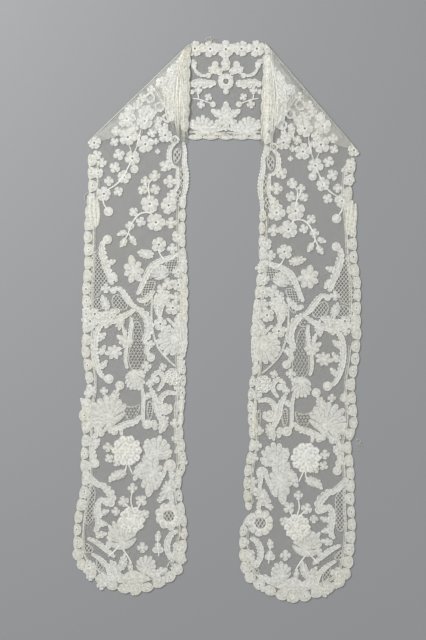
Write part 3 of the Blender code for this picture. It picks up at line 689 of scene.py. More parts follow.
class Ground:
    """The wall of one stretch of cloth: its outline, and how high it lies."""

    def __init__(self, node: str) -> None:
        """Reads the wall's shape.

        Args:
            node: name of the CAD node.
        """
        self.shape = bmesh.new()
        self.shape.from_mesh(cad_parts[node].data)
        bmesh.ops.remove_doubles(self.shape, verts=self.shape.verts, dist=0.005 * MM)
        self.tree = BVHTree.FromBMesh(self.shape)
        loops = sorted(self._rims(), key=lambda loop: -abs(signed_area(loop)))
        self.outline = loops[0] if signed_area(loops[0]) > 0 else loops[0][::-1]
        self.shape.free()
        self.known = {}

    def _rims(self) -> list[list[Place]]:
        """Finds the closed lines round the wall's underside.

        Returns:
            Their places, in millimetres.
        """
        links = {}
        for edge in self.shape.edges:
            slopes = [face.normal.z for face in edge.link_faces]
            if len(slopes) == 2 and min(slopes) < -0.5 and max(slopes) > -0.5:
                for near, far in (edge.verts, reversed(edge.verts)):
                    links.setdefault(near.index, []).append(far.index)
        self.shape.verts.ensure_lookup_table()
        loops = []
        seen = set()
        for first in links:
            if first in seen:
                continue
            walk = [first]
            seen.add(first)
            while True:
                onward = [other for other in links[walk[-1]] if other not in seen]
                if not onward:
                    break
                walk.append(onward[0])
                seen.add(onward[0])
            corners = [self.shape.verts[index].co for index in walk]
            loops.append([(corner.x / MM, corner.y / MM) for corner in corners])
        return loops

    def height_at(self, x: float, y: float) -> float:
        """How high the wall's underside lies.

        Args:
            x: millimetres in the frame.
            y: millimetres in the frame.

        Returns:
            Millimetres over the surface that the stole lies on.
        """
        key = (round(x, 1), round(y, 1))
        if key not in self.known:
            foot = Vector((key[0] * MM, key[1] * MM, -10 * MM))
            hit = self.tree.ray_cast(foot, Vector((0, 0, 1)))[0]
            if hit is None:
                foot.z = 0
                near = self.tree.find_nearest(foot)[0]
                inward = Vector((near.x - foot.x, near.y - foot.y, 0))
                if inward.length > 0:
                    inward.normalize()
                start = Vector((near.x, near.y, -10 * MM)) + inward * 0.4 * MM
                hit = self.tree.ray_cast(start, Vector((0, 0, 1)))[0] or near
            self.known[key] = hit.z / MM
        return self.known[key]


def put_out(name: str, data: bpy.types.ID) -> bpy.types.Object:
    """Puts a mesh, a lamp or a camera into the scene.

    Args:
        name: its name there.
        data: the mesh, lamp or camera.

    Returns:
        The object that shows it.
    """
    item = bpy.data.objects.new(name, data)
    bpy.context.scene.collection.objects.link(item)
    return item


def make_piece(data: bpy.types.Mesh, heights: list[float], finish: "Finish", slot: Slot) -> bpy.types.Object:
    """Dresses a mesh, and makes it an object that rides with the stole.

    Args:
        data: the mesh, named as the piece will be.
        heights: how high each of its points stands over the net, in millimetres.
        finish: what it is dressed in.
        slot: not used.

    Returns:
        The piece.
    """
    data.shade_smooth()
    depth = data.attributes.new(WORKED_DEPTH, "FLOAT", "POINT")
    depth.data.foreach_set("value", heights)
    data.materials.append(finish.material())
    piece = put_out(data.name, data)
    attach(piece, "root")
    LOG.info("%s: %d faces", piece.name, len(data.polygons))
    return piece


class LaceMesh:
    """One mesh of lace work that lies on a ground, built up row by row."""

    def __init__(self, ground: Ground, lift: float = NET_LIFT, folds: tuple[Fold, ...] = ()) -> None:
        """Starts an empty mesh.

        Args:
            ground: the wall that it lies on.
            lift: how far over the wall's underside its zero height is.
            folds: folds that its points stay inside.
        """
        self.ground = ground
        self.lift = lift
        self.folds = folds
        self.points = []
        self.faces = []
        self.heights = []

    def add_point(self, x: float, y: float, height: float) -> int:
        """Adds one point.

        Args:
            x: millimetres in the frame.
            y: millimetres in the frame.
            height: millimetres over the net.

        Returns:
            Its number.
        """
        for fold in self.folds:
            x, y = fold.kept_in(x, y)
        z = self.ground.height_at(x, y) + self.lift + height
        self.points.append((x * MM, y * MM, max(z, 0.05) * MM))
        self.heights.append(self.lift - NET_LIFT + height)
        return len(self.points) - 1

    def take_in(self, other: "LaceMesh") -> None:
        """Adds all of another mesh to this one.

        Args:
            other: the mesh that is added.
        """
        first = len(self.points)
        self.points += other.points
        self.heights += other.heights
        self.faces += [tuple(first + i for i in face) for face in other.faces]

    def add_rows(self, rows: list[Row], closed: bool, capped: bool = False) -> None:
        """Adds a skin through rows of points.

        Args:
            rows: rows of (x, y, height), all of one length, in millimetres.
            closed: whether each row runs round to its own start.
            capped: whether the first row is filled by one point at its middle.
        """
        numbers = [[self.add_point(*point) for point in row] for row in rows]
        count = len(rows[0])
        runs = count if closed else count - 1
        for near, far in zip(numbers, numbers[1:]):
            for i in range(runs):
                j = (i + 1) % count
                self.faces.append((near[i], far[i], far[j], near[j]))
        if capped:
            middle = [sum(point[k] for point in rows[0]) / count for k in range(3)]
            centre = self.add_point(*middle)
            for i in range(count):
                self.faces.append((centre, numbers[0][i], numbers[0][(i + 1) % count]))

    def make(self, name: str, finish: "Finish", slot: Slot) -> bpy.types.Object:
        """Makes the mesh a piece, with all of its faces turned up.

        Args:
            name: the piece's name.
            finish: what it is dressed in.
            slot: not used.

        Returns:
            The piece.
        """
        data = bpy.data.meshes.new(name)
        data.from_pydata(self.points, [], self.faces)
        turned = bmesh.new()
        turned.from_mesh(data)
        for face in turned.faces:
            if face.normal.z < 0:
                face.normal_flip()
        turned.to_mesh(data)
        turned.free()
        return make_piece(data, self.heights, finish, slot)


# Where a lobe's outline gets its points, from one slit to the next
LOBE_SAMPLES = (-1.0, -0.88, -0.66, -0.33, 0.0, 0.33, 0.66, 0.88)

# How much each lobe may differ in size
LOBE_GROWTH = (0.9, 1.08)

# How much further a leaf reaches at its tip
LEAF_TIP = 0.22

# A fan, in shares of its radius: its size, how far its base lies behind its place, how much shorter its
# outer lobes are, and how far its back reaches beside them and right behind
FAN_SIZE = 1.5
FAN_BASE = 0.55
FAN_LEAN = 0.28
FAN_SIDE = 0.72
FAN_BACK = 0.16

# How near a slit a point is pressed down, and over what share of the radius the slit deepens
SLIT_NEAR = 0.97
SLIT_RUN = 0.12


@dataclass(frozen=True)
class Stamp:
    """A motif or lobe worked as close cloth: an outline round a centre, with a cord along its edge.

    cord: width of the outline cord in millimetres
    plain: how many points a round outline gets
    """

    cord: float = 1.5
    plain: int = 20

    def reach_at(self, form: Form, angle: float) -> tuple[float, float]:
        """How far a form reaches in one direction.

        Args:
            form: the motif's form.
            angle: degrees from the direction that it points in.

        Returns:
            The reach as a share of the radius, and how near the direction is to a slit, 0 to 1.
        """
        whole = 1.0
        if form.width < 1 and form.spread >= 360:
            along, aside = math.cos(math.radians(angle)), math.sin(math.radians(angle))
            whole = (1 + LEAF_TIP * max(0.0, along) ** 8) / math.hypot(along, aside / form.width)
        if form.lobes == 0:
            return whole, 0.0
        half = form.spread / 2
        angle = (angle + 180) % 360 - 180
        pitch = form.spread / form.lobes
        if form.spread >= 360:
            within = (angle / pitch + 0.5) % 1 * 2 - 1
            dent = form.dent * (1 - min(abs(within) / 0.3, 1.0))
            return whole * (1 - form.notch * abs(within) ** form.power - dent), abs(within)
        if abs(angle) <= half + 0.01:
            within = (angle + half) / pitch % 1 * 2 - 1
            leaning = 1 - FAN_LEAN * (abs(angle) / half) ** 2
            return leaning * (1 - form.notch * abs(within) ** form.power), abs(within)
        past = min((abs(angle) - half) / (180 - half), 1.0)
        return FAN_SIDE * (1 - form.notch) * (1 - past) ** 3 + FAN_BACK, 0.0

    def angles(self, form: Form) -> list[float]:
        """The directions in which a form's outline gets its points, closer at the slits.

        Args:
            form: the motif's form.

        Returns:
            Degrees from the direction that it points in.
        """
        if form.lobes == 0:
            return [360 * i / self.plain for i in range(self.plain)]
        pitch = form.spread / form.lobes
        first = pitch / 2 - form.spread / 2
        found = []
        for lobe in range(form.lobes):
            found += [first + pitch * (lobe + within / 2) for within in LOBE_SAMPLES]
        if form.spread < 360:
            rest = 360 - form.spread
            found += [form.spread / 2 + rest * i / self.plain for i in range(self.plain)]
        return found

    def loops(self, form: Form, radius: float) -> Row:
        """The outline of a form in its own directions.

        Args:
            form: the motif's form.
            radius: its radius in millimetres.

        Returns:
            Places along and aside in millimetres, each with how near a slit it is, 0 to 1.
        """
        fan = form.spread < 360
        found = []
        growth = [UNEVEN.uniform(*LOBE_GROWTH) for _ in range(form.lobes + 1)]
        for number, angle in enumerate(self.angles(form)):
            reach, nearness = self.reach_at(form, angle)
            lobe = min(number // len(LOBE_SAMPLES), form.lobes) if form.lobes else 0
            grown = 1 + (growth[lobe] - 1) * (1 - nearness ** 2) if lobe < form.lobes else 1.0
            size = radius * (FAN_SIZE if fan else 1.0) * grown
            along = math.cos(math.radians(angle)) * reach * size
            aside = math.sin(math.radians(angle)) * reach * size * (form.width if fan else 1.0)
            found.append((along - (FAN_BASE * radius if fan else 0.0), aside, nearness))
        return found

    def work(self, mesh: LaceMesh, loop: Row, centre: Place, eye: float, slit: float = 1.0,
             crown: float = 0.25) -> None:
        """Works close cloth inside an outline.

        Args:
            mesh: where it goes.
            loop: the outline's (x, y, nearness to a slit).
            centre: the place that its rows close in on.
            eye: radius of the pinhole, or 0 for none.
            slit: how far out the slits between lobes start, as a share; 1 for none.
            crown: how much higher the middle is.
        """
        size = sum(math.dist(centre, point[:2]) for point in loop) / len(loop)
        cord = min(self.cord / size, 0.34)
        shares = [1.0, 1 - 0.22 * cord, 1 - 0.55 * cord, 1 - cord, 1 - 1.25 * cord]
        # The outer row and the pinhole's rim lie at -LET_IN, where the worked depth paints shade; the cord
        # is painted lightest
        heights = [-LET_IN, 0.72 * CORD_HEIGHT, CORD_HEIGHT, 0.8 * CLOTH_HEIGHT, CLOTH_HEIGHT]
        first = max(eye / size, 0.0)
        inner = shares[-1]
        for step in (1, 2):
            share = inner + (first - inner) * step / 3
            shares.append(share)
            heights.append(CLOTH_HEIGHT + crown * (1 - share) ** 2)
        if eye > 0:
            shares += [first + 0.8 / size, first + 0.3 / size, first]
            heights += [CORD_HEIGHT, 0.8 * CORD_HEIGHT, -LET_IN]
        else:
            shares.append(0.12 * inner)
            heights.append(CLOTH_HEIGHT + crown)
        rows = []
        for share, height in zip(shares, heights):
            row = []
            for x, y, nearness in loop:
                # Near a slit the rows are pressed down to -LET_IN, where the worked depth paints a line of
                # painted shade
                opened = min(max((share - slit) / SLIT_RUN, 0.0), 1.0) if nearness > SLIT_NEAR else 0.0
                row.append((*between(centre, (x, y), share), height + (-LET_IN - height) * opened))
            rows.append(row)
        rows.reverse()
        mesh.add_rows(rows, closed=True, capped=eye <= 0)


@dataclass(frozen=True)
class BandShape:
    """The edges and section of a worked band.

    ends: its width at both ends, as a share of the middle's
    lobes: how far the lobes on its outer side stand out, as a share of half its width
    inner: the same on its inner side
    height: height of a plain round section in millimetres; none for cloth between two cords
    """

    ends: float
    lobes: float = 0.0
    inner: float = 0.0
    height: float = 0.0

    def section(self, half: float) -> list[Place]:
        """The places across a band from -1 to 1, with their heights in millimetres.

        Args:
            half: half the band's width in millimetres.

        Returns:
            (place, height) pairs.
        """
        # Both sides end at -LET_IN, where the worked depth paints shade along the band's edge
        if self.height:
            side = [(0.62, 0.73 * self.height), (1, -LET_IN)]
            middle = [(0, self.height)]
        else:
            cord = min(BAND_CORD / half, 0.42)
            rib = min(0.55 / half, 0.16)
            side = [(1 - cord, 0.8 * CLOTH_HEIGHT), (1 - 0.6 * cord, CORD_HEIGHT),
                    (1 - 0.25 * cord, 0.8 * CORD_HEIGHT), (1, -LET_IN)]
            middle = [(-rib, CLOTH_HEIGHT), (0, CLOTH_HEIGHT + 0.3), (rib, CLOTH_HEIGHT)]
        return [(-place, height) for place, height in reversed(side)] + middle + side


BAND_SHAPES = {
    Outline.STEM: BandShape(ends=0.8, height=CORD_HEIGHT),
    Outline.THIN: BandShape(ends=0.8),
    Outline.BAND: BandShape(ends=0.75, lobes=0.25, inner=0.1),
    Outline.SCROLL: BandShape(ends=0.5, lobes=0.62, inner=0.2),
    Outline.LEAFY: BandShape(ends=0.5, lobes=0.95, inner=0.4),
    Outline.ROLL: BandShape(ends=0.5, lobes=0.16, height=ROLL_HEIGHT),
}

# Width of a band's outline cords, and how far apart the rows of points along a band are
BAND_CORD = 1.3
BAND_STEP = 1.4

# A lobe's length along a band as a share of the band's width, its least length, how far it leans, and
# how much narrower the band is drawn to make room for lobes
LOBE_SHARE = 0.62
LEAST_LOBE = 6.0
LOBE_LEAN = 0.55
LOBE_ROOM = 0.3


def even_path(path: list[Place], step: float) -> tuple[list[Place], float]:
    """A path with its points a fixed length apart.

    Args:
        path: places along it.
        step: about how far apart the points come, in millimetres.

    Returns:
        The points, and the path's length in millimetres.
    """
    lengths = [0.0]
    for near, far in zip(path, path[1:]):
        lengths.append(lengths[-1] + math.dist(near, far))
    count = max(int(lengths[-1] / step), 4)
    points = []
    leg = 0
    for i in range(count + 1):
        along = lengths[-1] * i / count
        while leg < len(path) - 2 and lengths[leg + 1] < along:
            leg += 1
        share = (along - lengths[leg]) / ((lengths[leg + 1] - lengths[leg]) or 1.0)
        points.append(between(path[leg], path[leg + 1], share))
    return points, lengths[-1]


def work_band(mesh: LaceMesh, outline: Outline, width: float, path: list[Place]) -> None:
    """Works a band along a path, with round ends.

    Args:
        mesh: where it goes.
        outline: what kind of band it is.
        width: its greatest width in millimetres.
        path: smooth places along its middle.
    """
    shape = BAND_SHAPES[outline]
    points, length = even_path(path, BAND_STEP)
    pitch = length / max(round(length / max(LOBE_SHARE * width, LEAST_LOBE)), 1)
    phase = UNEVEN.uniform(0.2, 0.8)
    rows = []
    for i, (point, along) in enumerate(zip(points, headings(points))):
        aside = (-along[1], along[0])
        share = i / (len(points) - 1)
        half = width / 2 * (shape.ends + (1 - shape.ends) * math.sin(math.pi * share) ** 0.8)
        half /= 1 + LOBE_ROOM * (shape.lobes + shape.inner)
        from_end = min(length * min(share, 1 - share) / half, 1.0)
        half *= max(math.sqrt(1 - (1 - from_end) ** 2), 0.06)
        lobe = abs(math.sin(math.pi * (length * share / pitch + phase))) ** 0.6
        row = []
        for place, height in shape.section(max(half, 0.5)):
            grown = 1 + lobe * (shape.lobes if place > 0 else shape.inner)
            lean = LOBE_LEAN * half * abs(place) * (grown - 1) * from_end
            low = height * min(1.0, 0.2 + 2 * from_end) if height > 0 else height
            if shape.lobes > 0.5 and place > 0.4:
                low *= 0.35 + 0.65 * min(1.6 * lobe, 1.0)
            row.append((*moved(moved(point, aside, half * place * grown), along, lean), low))
        rows.append(row)
    mesh.add_rows(rows, closed=False)


@dataclass(frozen=True)
class Pleats:
    """The lace drawn together in fine, uneven pleats that fan out from a front's top corner.

    outer: the pleats' border on the fold's side, in squares
    inner: their border along the front's inner edge
    ridges: how many pleats lie side by side
    height: how high they stand
    base: how high the cloth lies between them
    scallop: how far the scallops of the inner border stand out
    scallops: how many of them there are
    sway: how far the pleats bend aside, as a share of the whole breadth
    samples: how many points there are across each pleat
    steps: how many rows of points there are along them
    """

    outer: tuple[Place, ...] = (
        (184, 47), (178.5, 60), (173.5, 78), (171, 96), (170, 114), (172, 131), (175, 144))
    inner: tuple[Place, ...] = (
        (190, 47), (189.6, 60), (189.4, 78), (189, 96), (188.8, 114), (188, 131), (185.6, 145))
    ridges: int = 9
    height: float = 1.1
    base: float = 0.08
    scallop: float = 2.6
    scallops: float = 7.5
    sway: float = 0.022
    samples: int = 6
    steps: int = 96

    def work(self, mesh: LaceMesh, front: "Front") -> None:
        """Works the pleats.

        Args:
            mesh: where they go.
            front: the front that they are on.
        """
        draw = random.Random(11)
        outer, inner = front.path_on(self.outer), front.path_on(self.inner)
        columns = self.ridges * self.samples
        tall = [draw.uniform(0.55, 1.0) for _ in range(self.ridges + 1)]
        ends = [draw.uniform(0.72, 1.0) for _ in range(self.ridges + 1)]
        turns = [draw.uniform(0.0, 6.3) for _ in range(self.ridges + 1)]
        rows = []
        for i in range(self.steps + 1):
            down = i / self.steps
            scallop = front.hand * self.scallop * abs(math.sin(math.pi * self.scallops * down))
            row = []
            for column in range(columns + 1):
                ridge = min(column // self.samples, self.ridges - 1)
                across = column / columns
                within = column / self.samples - ridge
                place = down * (ends[ridge] + (ends[ridge + 1] - ends[ridge]) * within) * (len(outer) - 1)
                leg = min(int(place), len(outer) - 2)
                left = between(outer[leg], outer[leg + 1], place - leg)
                right = between(inner[leg], inner[leg + 1], place - leg)
                sway = self.sway * math.sin(9 * down + turns[ridge]) * min(8 * down, 1.0)
                x, y = between(left, right, across + sway)
                wave = max(math.sin(math.pi * within), 0.0) ** 0.7
                swell = 0.7 + 0.2 * math.sin(11 * down + turns[ridge])
                swell += 0.1 * math.sin(43 * down + turns[ridge])
                edge = min(1.0, 12 * down, 3.2 * (1 - down), 8 * across + 0.1, 8 * (1 - across) + 0.1)
                # The low cloth between pleats gets painted shade from the worked depth
                high = edge * (self.base + self.height * tall[ridge] * wave * swell) - LET_IN
                row.append((x + scallop * across ** 5, y, high))
            rows.append(row)
        mesh.add_rows(rows, closed=False)


@dataclass(frozen=True)
class FillingShape:
    """How the bars of an open filling are laid.

    angles: directions of its bars, in degrees
    pitch: millimetres from bar to bar
    bar: width of a bar in millimetres
    """

    angles: tuple[float, ...]
    pitch: float
    bar: float


FILLING_SHAPES = {
    Filling.DIAMOND: FillingShape((52.0, 128.0), 5.0, 1.8),
    Filling.BRICK: FillingShape((0.0, 78.0), 4.4, 1.7),
    Filling.HEX: FillingShape((0.0, 62.0, 118.0), 5.4, 1.25),
    Filling.BOLD: FillingShape((58.0, 122.0), 5.8, 2.4),
}

# A filling's bars, in millimetres: their height, how much higher each direction's bars lie than the one's
# before, how low their edges are, and about how long a run is
# The bars' low edges get painted shade from the worked depth; their raised tops stay clear of it
BAR_HEIGHT = 0.42
BAR_STEP = 0.04
BAR_FOOT = -0.15
BAR_RUN = 8

# Across the cord round a filling: places and heights in millimetres
RIM_SECTION = ((-1.1, -LET_IN), (-0.6, 0.35), (0.6, 0.35), (1.1, -LET_IN))


def work_filling(mesh: LaceMesh, filling: Filling, corners: list[Place], hand: int) -> None:
    """Works the bars of an open filling, and the cord round it.

    Args:
        mesh: where they go.
        filling: what kind it is.
        corners: the filling's outline.
        hand: 1, or -1 where the work is turned over.
    """
    shape = FILLING_SHAPES[filling]
    middle = (sum(x for x, _ in corners) / len(corners), sum(y for _, y in corners) / len(corners))
    steps = int(max(math.dist(middle, corner) for corner in corners) / shape.pitch) + 1
    for number, degrees in enumerate(shape.angles):
        angle = math.radians(degrees if hand > 0 else 180 - degrees)
        along = (math.cos(angle), math.sin(angle))
        aside = (-along[1], along[0])
        raised = BAR_HEIGHT + BAR_STEP * number
        section = ((-0.5, BAR_FOOT), (-0.25, BAR_HEIGHT), (0.25, raised), (0.5, BAR_FOOT))
        for step in range(-steps, steps + 1):
            foot = moved(middle, aside, step * shape.pitch)
            cuts = crossings(corners, foot, along)
            for start, end in zip(cuts[::2], cuts[1::2]):
                pieces = max(int((end - start) / BAR_RUN), 1)
                rows = []
                for i in range(pieces + 1):
                    place = moved(foot, along, start + (end - start) * i / pieces)
                    rows.append([(*moved(place, aside, shape.bar * part), high) for part, high in section])
                mesh.add_rows(rows, closed=False)
    ring = corners + corners[:2]
    rows = []
    for place, along in list(zip(ring, headings(ring)))[1:-1]:
        rows.append([(*moved(place, (-along[1], along[0]), out), high) for out, high in RIM_SECTION])
    rows.append(rows[0])
    mesh.add_rows(rows, closed=False)


# Numbers of a Mix node's first value and of its result, for each kind of value
MIX_SOCKETS = {"VECTOR": (4, 1), "RGBA": (6, 2)}


class Wiring:
    """Shorthand for laying out the nodes of a material or a group."""

    def __init__(self, tree: bpy.types.NodeTree) -> None:
        """Keeps the tree that the nodes go in."""
        self.tree = tree

    def put(self, kind: str, **values: object) -> bpy.types.Node:
        """Adds one node with some of its settings.

        Args:
            kind: the node's type.
            values: settings of the node.

        Returns:
            The node.
        """
        node = self.tree.nodes.new(kind)
        for name, value in values.items():
            setattr(node, name, value)
        return node

    def feed(self, node: bpy.types.Node, values: dict[str | int, object]) -> bpy.types.Node:
        """Links a node's inputs to other sockets, or sets them to plain values.

        Args:
            node: the node.
            values: a socket, a plain value or None for each input's name or number.

        Returns:
            The node.
        """
        for key, value in values.items():
            if isinstance(value, bpy.types.NodeSocket):
                self.tree.links.new(value, node.inputs[key])
            elif value is not None:
                node.inputs[key].default_value = value
        return node

    def calc(self, operation: str, *values: object) -> bpy.types.NodeSocket:
        """One step of arithmetic with a Math node on sockets and numbers."""
        node = self.put("ShaderNodeMath", operation=operation)
        return self.feed(node, dict(enumerate(values))).outputs[0]

    def vector(self, operation: str, *values: object, scale: object = None,
               result: str = "Vector") -> bpy.types.NodeSocket:
        """One step of arithmetic with a Vector Math node.

        Args:
            operation: the node's operation.
            values: sockets and vectors.
            scale: a socket or number that the vector is scaled by.
            result: name of the result's socket.

        Returns:
            The result's socket.
        """
        node = self.put("ShaderNodeVectorMath", operation=operation)
        return self.feed(node, {**dict(enumerate(values)), "Scale": scale}).outputs[result]

    def ramp(self, value: object, low: object, high: object, start: float = 0.0,
             end: float = 1.0) -> bpy.types.NodeSocket:
        """A smooth rise of a value between two limits.

        Args:
            value: the socket that rises.
            low: where the rise starts.
            high: where it ends.
            start: the result below.
            end: the result above.

        Returns:
            The result's socket.
        """
        node = self.put("ShaderNodeMapRange", interpolation_type="SMOOTHSTEP")
        self.feed(node, {"Value": value, "From Min": low, "From Max": high, "To Min": start, "To Max": end})
        return node.outputs["Result"]

    def noise(self, place: object, scale: float, detail: float = 2.0) -> bpy.types.bpy_prop_collection:
        """Adds noise over a place, and gives the node's outputs."""
        node = self.put("ShaderNodeTexNoise")
        return self.feed(node, {"Vector": place, "Scale": scale, "Detail": detail}).outputs

    def mix(self, share: object, low: object, high: object, kind: str = "RGBA",
            blend: str = "MIX") -> bpy.types.NodeSocket:
        """A mix of two colours or vectors.

        Args:
            share: how much of the second there is.
            low: the first.
            high: the second.
            kind: RGBA, or VECTOR.
            blend: how colours are blended.

        Returns:
            The result's socket.
        """
        node = self.put("ShaderNodeMix", data_type=kind, blend_type=blend)
        first, result = MIX_SOCKETS[kind]
        return self.feed(node, {0: share, first: low, first + 1: high}).outputs[result]

    def group(self, tree: bpy.types.NodeTree, **values: object) -> bpy.types.bpy_prop_collection:
        """Places a node group with its own values, and gives its outputs."""
        return self.feed(self.put("ShaderNodeGroup", node_tree=tree), values).outputs

    def split(self, place: object) -> bpy.types.bpy_prop_collection:
        """Splits a vector, and gives its X, Y and Z."""
        return self.feed(self.put("ShaderNodeSeparateXYZ"), {0: place}).outputs

    def shaken(self, place: object, scale: float, detail: float, amount: object) -> bpy.types.NodeSocket:
        """A place moved a little by noise, so that rows of thread aren't quite straight."""
        shift = self.vector("SCALE", self.noise(place, scale, detail)["Color"], scale=amount)
        return self.vector("ADD", place, shift)


# Plain colours of a group's inputs, before a finish gives its own
CLEAN = (0.8, 0.8, 0.72, 1.0)
YELLOWED = (0.78, 0.74, 0.55, 1.0)

# The kind of socket for each kind of plain value; a place has none
SOCKET_KINDS = {float: "NodeSocketFloat", tuple: "NodeSocketColor", type(None): "NodeSocketVector"}


def new_group(name: str, inputs: dict[str, object], outputs: dict[str, object]
              ) -> tuple[Wiring, bpy.types.bpy_prop_collection, bpy.types.Node]:
    """Starts a shader node group with named sockets.

    Args:
        name: the group's name.
        inputs: each input's plain value: a number, a colour, or None for a place.
        outputs: the same for each output, where only the kind counts.

    Returns:
        The group's wiring, the sockets that it is given, and the node that takes its results.
    """
    tree = bpy.data.node_groups.new(name, "ShaderNodeTree")
    for way, sockets in (("INPUT", inputs), ("OUTPUT", outputs)):
        for label, value in sockets.items():
            kind = SOCKET_KINDS[type(value)]
            socket = tree.interface.new_socket(name=label, in_out=way, socket_type=kind)
            if value is not None:
                socket.default_value = value
    wiring = Wiring(tree)
    return wiring, wiring.put("NodeGroupInput").outputs, wiring.put("NodeGroupOutput")


# The net's hexagons: from one row of meshes to the next, and the direction of a slanting side
ROW_STEP = math.sqrt(3)
SLANT = (0.5, ROW_STEP / 2, 0.0)


class ThreadWork:
    """The shared effects of lace: its close weave, its net, its ageing, and painted shade and highlight by
    its worked depth.
    """

    def __init__(self) -> None:
        """Builds the four node groups once."""
        self.weave = self._weave()
        self.net = self._net()
        self.ageing = self._ageing()
        self.depth = self._depth_shading()

    def _depth_shading(self) -> bpy.types.NodeTree:
        """Painted shade and highlight by worked depth: darker on the thinner cloth between cords, partly as
        painted shade, lighter on the raised cord as painted highlight, and darkest, as painted shade, down
        in the slits.

        Returns:
            The group.
        """
        wiring, given, out = new_group(
            "worked depth", {"Depth": 0.0, "Clean": CLEAN, "Openness": 0.0}, {"Color": CLEAN})
        # Painted highlight on the raised cord, and painted shade on the lower cloth, which is also thinner
        # thread
        cord = wiring.ramp(given["Depth"], CLOTH_HEIGHT, CORD_HEIGHT, 0.85, 1.06)
        # Painted shade down in the slits and along the edges let into the net
        slit = wiring.ramp(given["Depth"], -LET_IN, 0.7 * CLOTH_HEIGHT, 0.45, 1.0)
        open_shade = wiring.calc("MULTIPLY_ADD", given["Openness"], -0.2, 1.0)
        shade = wiring.calc("MULTIPLY", wiring.calc("MULTIPLY", cord, slit), open_shade)
        wiring.feed(out, {"Color": wiring.vector("SCALE", given["Clean"], scale=shade)})
        return wiring.tree

    def _weave(self) -> bpy.types.NodeTree:
        """Close rows of stitches, seen as fine ribs crossed by finer ones.

        Returns:
            The group.
        """
        wiring, given, out = new_group(
            "close weave", {"Place": None, "Pitch": 0.7 * MM, "Unevenness": 0.3},
            {"Height": 0.0, "Gaps": 0.0, "Openness": 0.0})
        amount = wiring.calc("MULTIPLY", given["Unevenness"], 1.6 * MM)
        axes = wiring.split(wiring.shaken(given["Place"], 420.0, 2.0, amount))
        turns = wiring.calc("DIVIDE", 2 * math.pi, given["Pitch"])
        rib = wiring.calc("SINE", wiring.calc("MULTIPLY", axes["X"], turns))
        finer = wiring.calc("MULTIPLY", turns, 0.8)
        row = wiring.calc("SINE", wiring.calc("MULTIPLY", axes["Y"], finer))
        height = wiring.calc("MULTIPLY", wiring.calc("ADD", rib, row), 0.5)
        wiring.feed(out, {
            "Height": wiring.calc("MULTIPLY_ADD", height, 0.5, 0.5),
            # Gaps: where the weave lies low between ribs, to be darkened as painted shade
            "Gaps": wiring.ramp(height, -0.55, -0.95),
            "Openness": wiring.ramp(wiring.noise(given["Place"], 230.0)["Fac"], 0.42, 0.66)})
        return wiring.tree

    def _net(self) -> bpy.types.NodeTree:
        """Fine hexagonal net: where the thread is, and how round it is.

        Returns:
            The group.
        """
        wiring, given, out = new_group(
            "fine net", {"Place": None, "Cell": 1.5 * MM, "Thread": 0.2, "Unevenness": 0.3},
            {"Cover": 0.0, "Height": 0.0})
        amount = wiring.calc("MULTIPLY", given["Unevenness"], 2.4 * MM)
        place = wiring.shaken(given["Place"], 260.0, 1.0, amount)
        cell = wiring.feed(wiring.put("ShaderNodeCombineXYZ"), {axis: given["Cell"] for axis in "XYZ"})
        cells = wiring.vector("DIVIDE", wiring.vector("MULTIPLY", place, (1.0, 1.0, 0.0)), cell.outputs[0])
        centres = []
        reaches = []
        for shift in (500.0, 500.5):
            apart = wiring.vector("ADD", cells, (shift, shift * ROW_STEP, 0.0))
            within = wiring.vector("MODULO", apart, (1.0, ROW_STEP, 1.0))
            centres.append(wiring.vector("SUBTRACT", within, (0.5, ROW_STEP / 2, 0.5)))
            level = wiring.vector("MULTIPLY", centres[-1], (1.0, 1.0, 0.0))
            reaches.append(wiring.vector("LENGTH", level, result="Value"))
        nearer = wiring.calc("LESS_THAN", *reaches)
        within = wiring.vector("ABSOLUTE", wiring.mix(nearer, centres[1], centres[0], "VECTOR"))
        slanted = wiring.vector("DOT_PRODUCT", within, SLANT, result="Value")
        side = wiring.calc("MAXIMUM", slanted, wiring.split(within)["X"])
        edge = wiring.calc("SUBTRACT", 0.5, side)
        wiring.feed(out, {
            "Cover": wiring.ramp(edge, given["Thread"], wiring.calc("MULTIPLY", given["Thread"], 0.8)),
            "Height": wiring.ramp(edge, given["Thread"], 0.0)})
        return wiring.tree

    def _ageing(self) -> bpy.types.NodeTree:
        """Slow drifts of tint over old thread, with a few deeper specks.

        Returns:
            The group.
        """
        wiring, given, out = new_group(
            "ageing", {"Place": None, "Clean": CLEAN, "Yellowed": YELLOWED, "Amount": 0.5},
            {"Color": CLEAN, "Mask": 0.0})
        slow = wiring.ramp(wiring.noise(given["Place"], 14.0, 4.0)["Fac"], 0.38, 0.68)
        speck = wiring.ramp(wiring.noise(given["Place"], 190.0, 3.0)["Fac"], 0.5, 0.8)
        both = wiring.calc("MULTIPLY_ADD", speck, 0.6, slow)
        mask = wiring.calc("MINIMUM", wiring.calc("MULTIPLY", both, given["Amount"]), 1.0)
        wiring.feed(out, {"Color": wiring.mix(mask, given["Clean"], given["Yellowed"]), "Mask": mask})
        return wiring.tree


# The painted shade that the low gaps between stitches are darkened towards
GAP_SHADE = (0.5, 0.5, 0.45, 1.0)


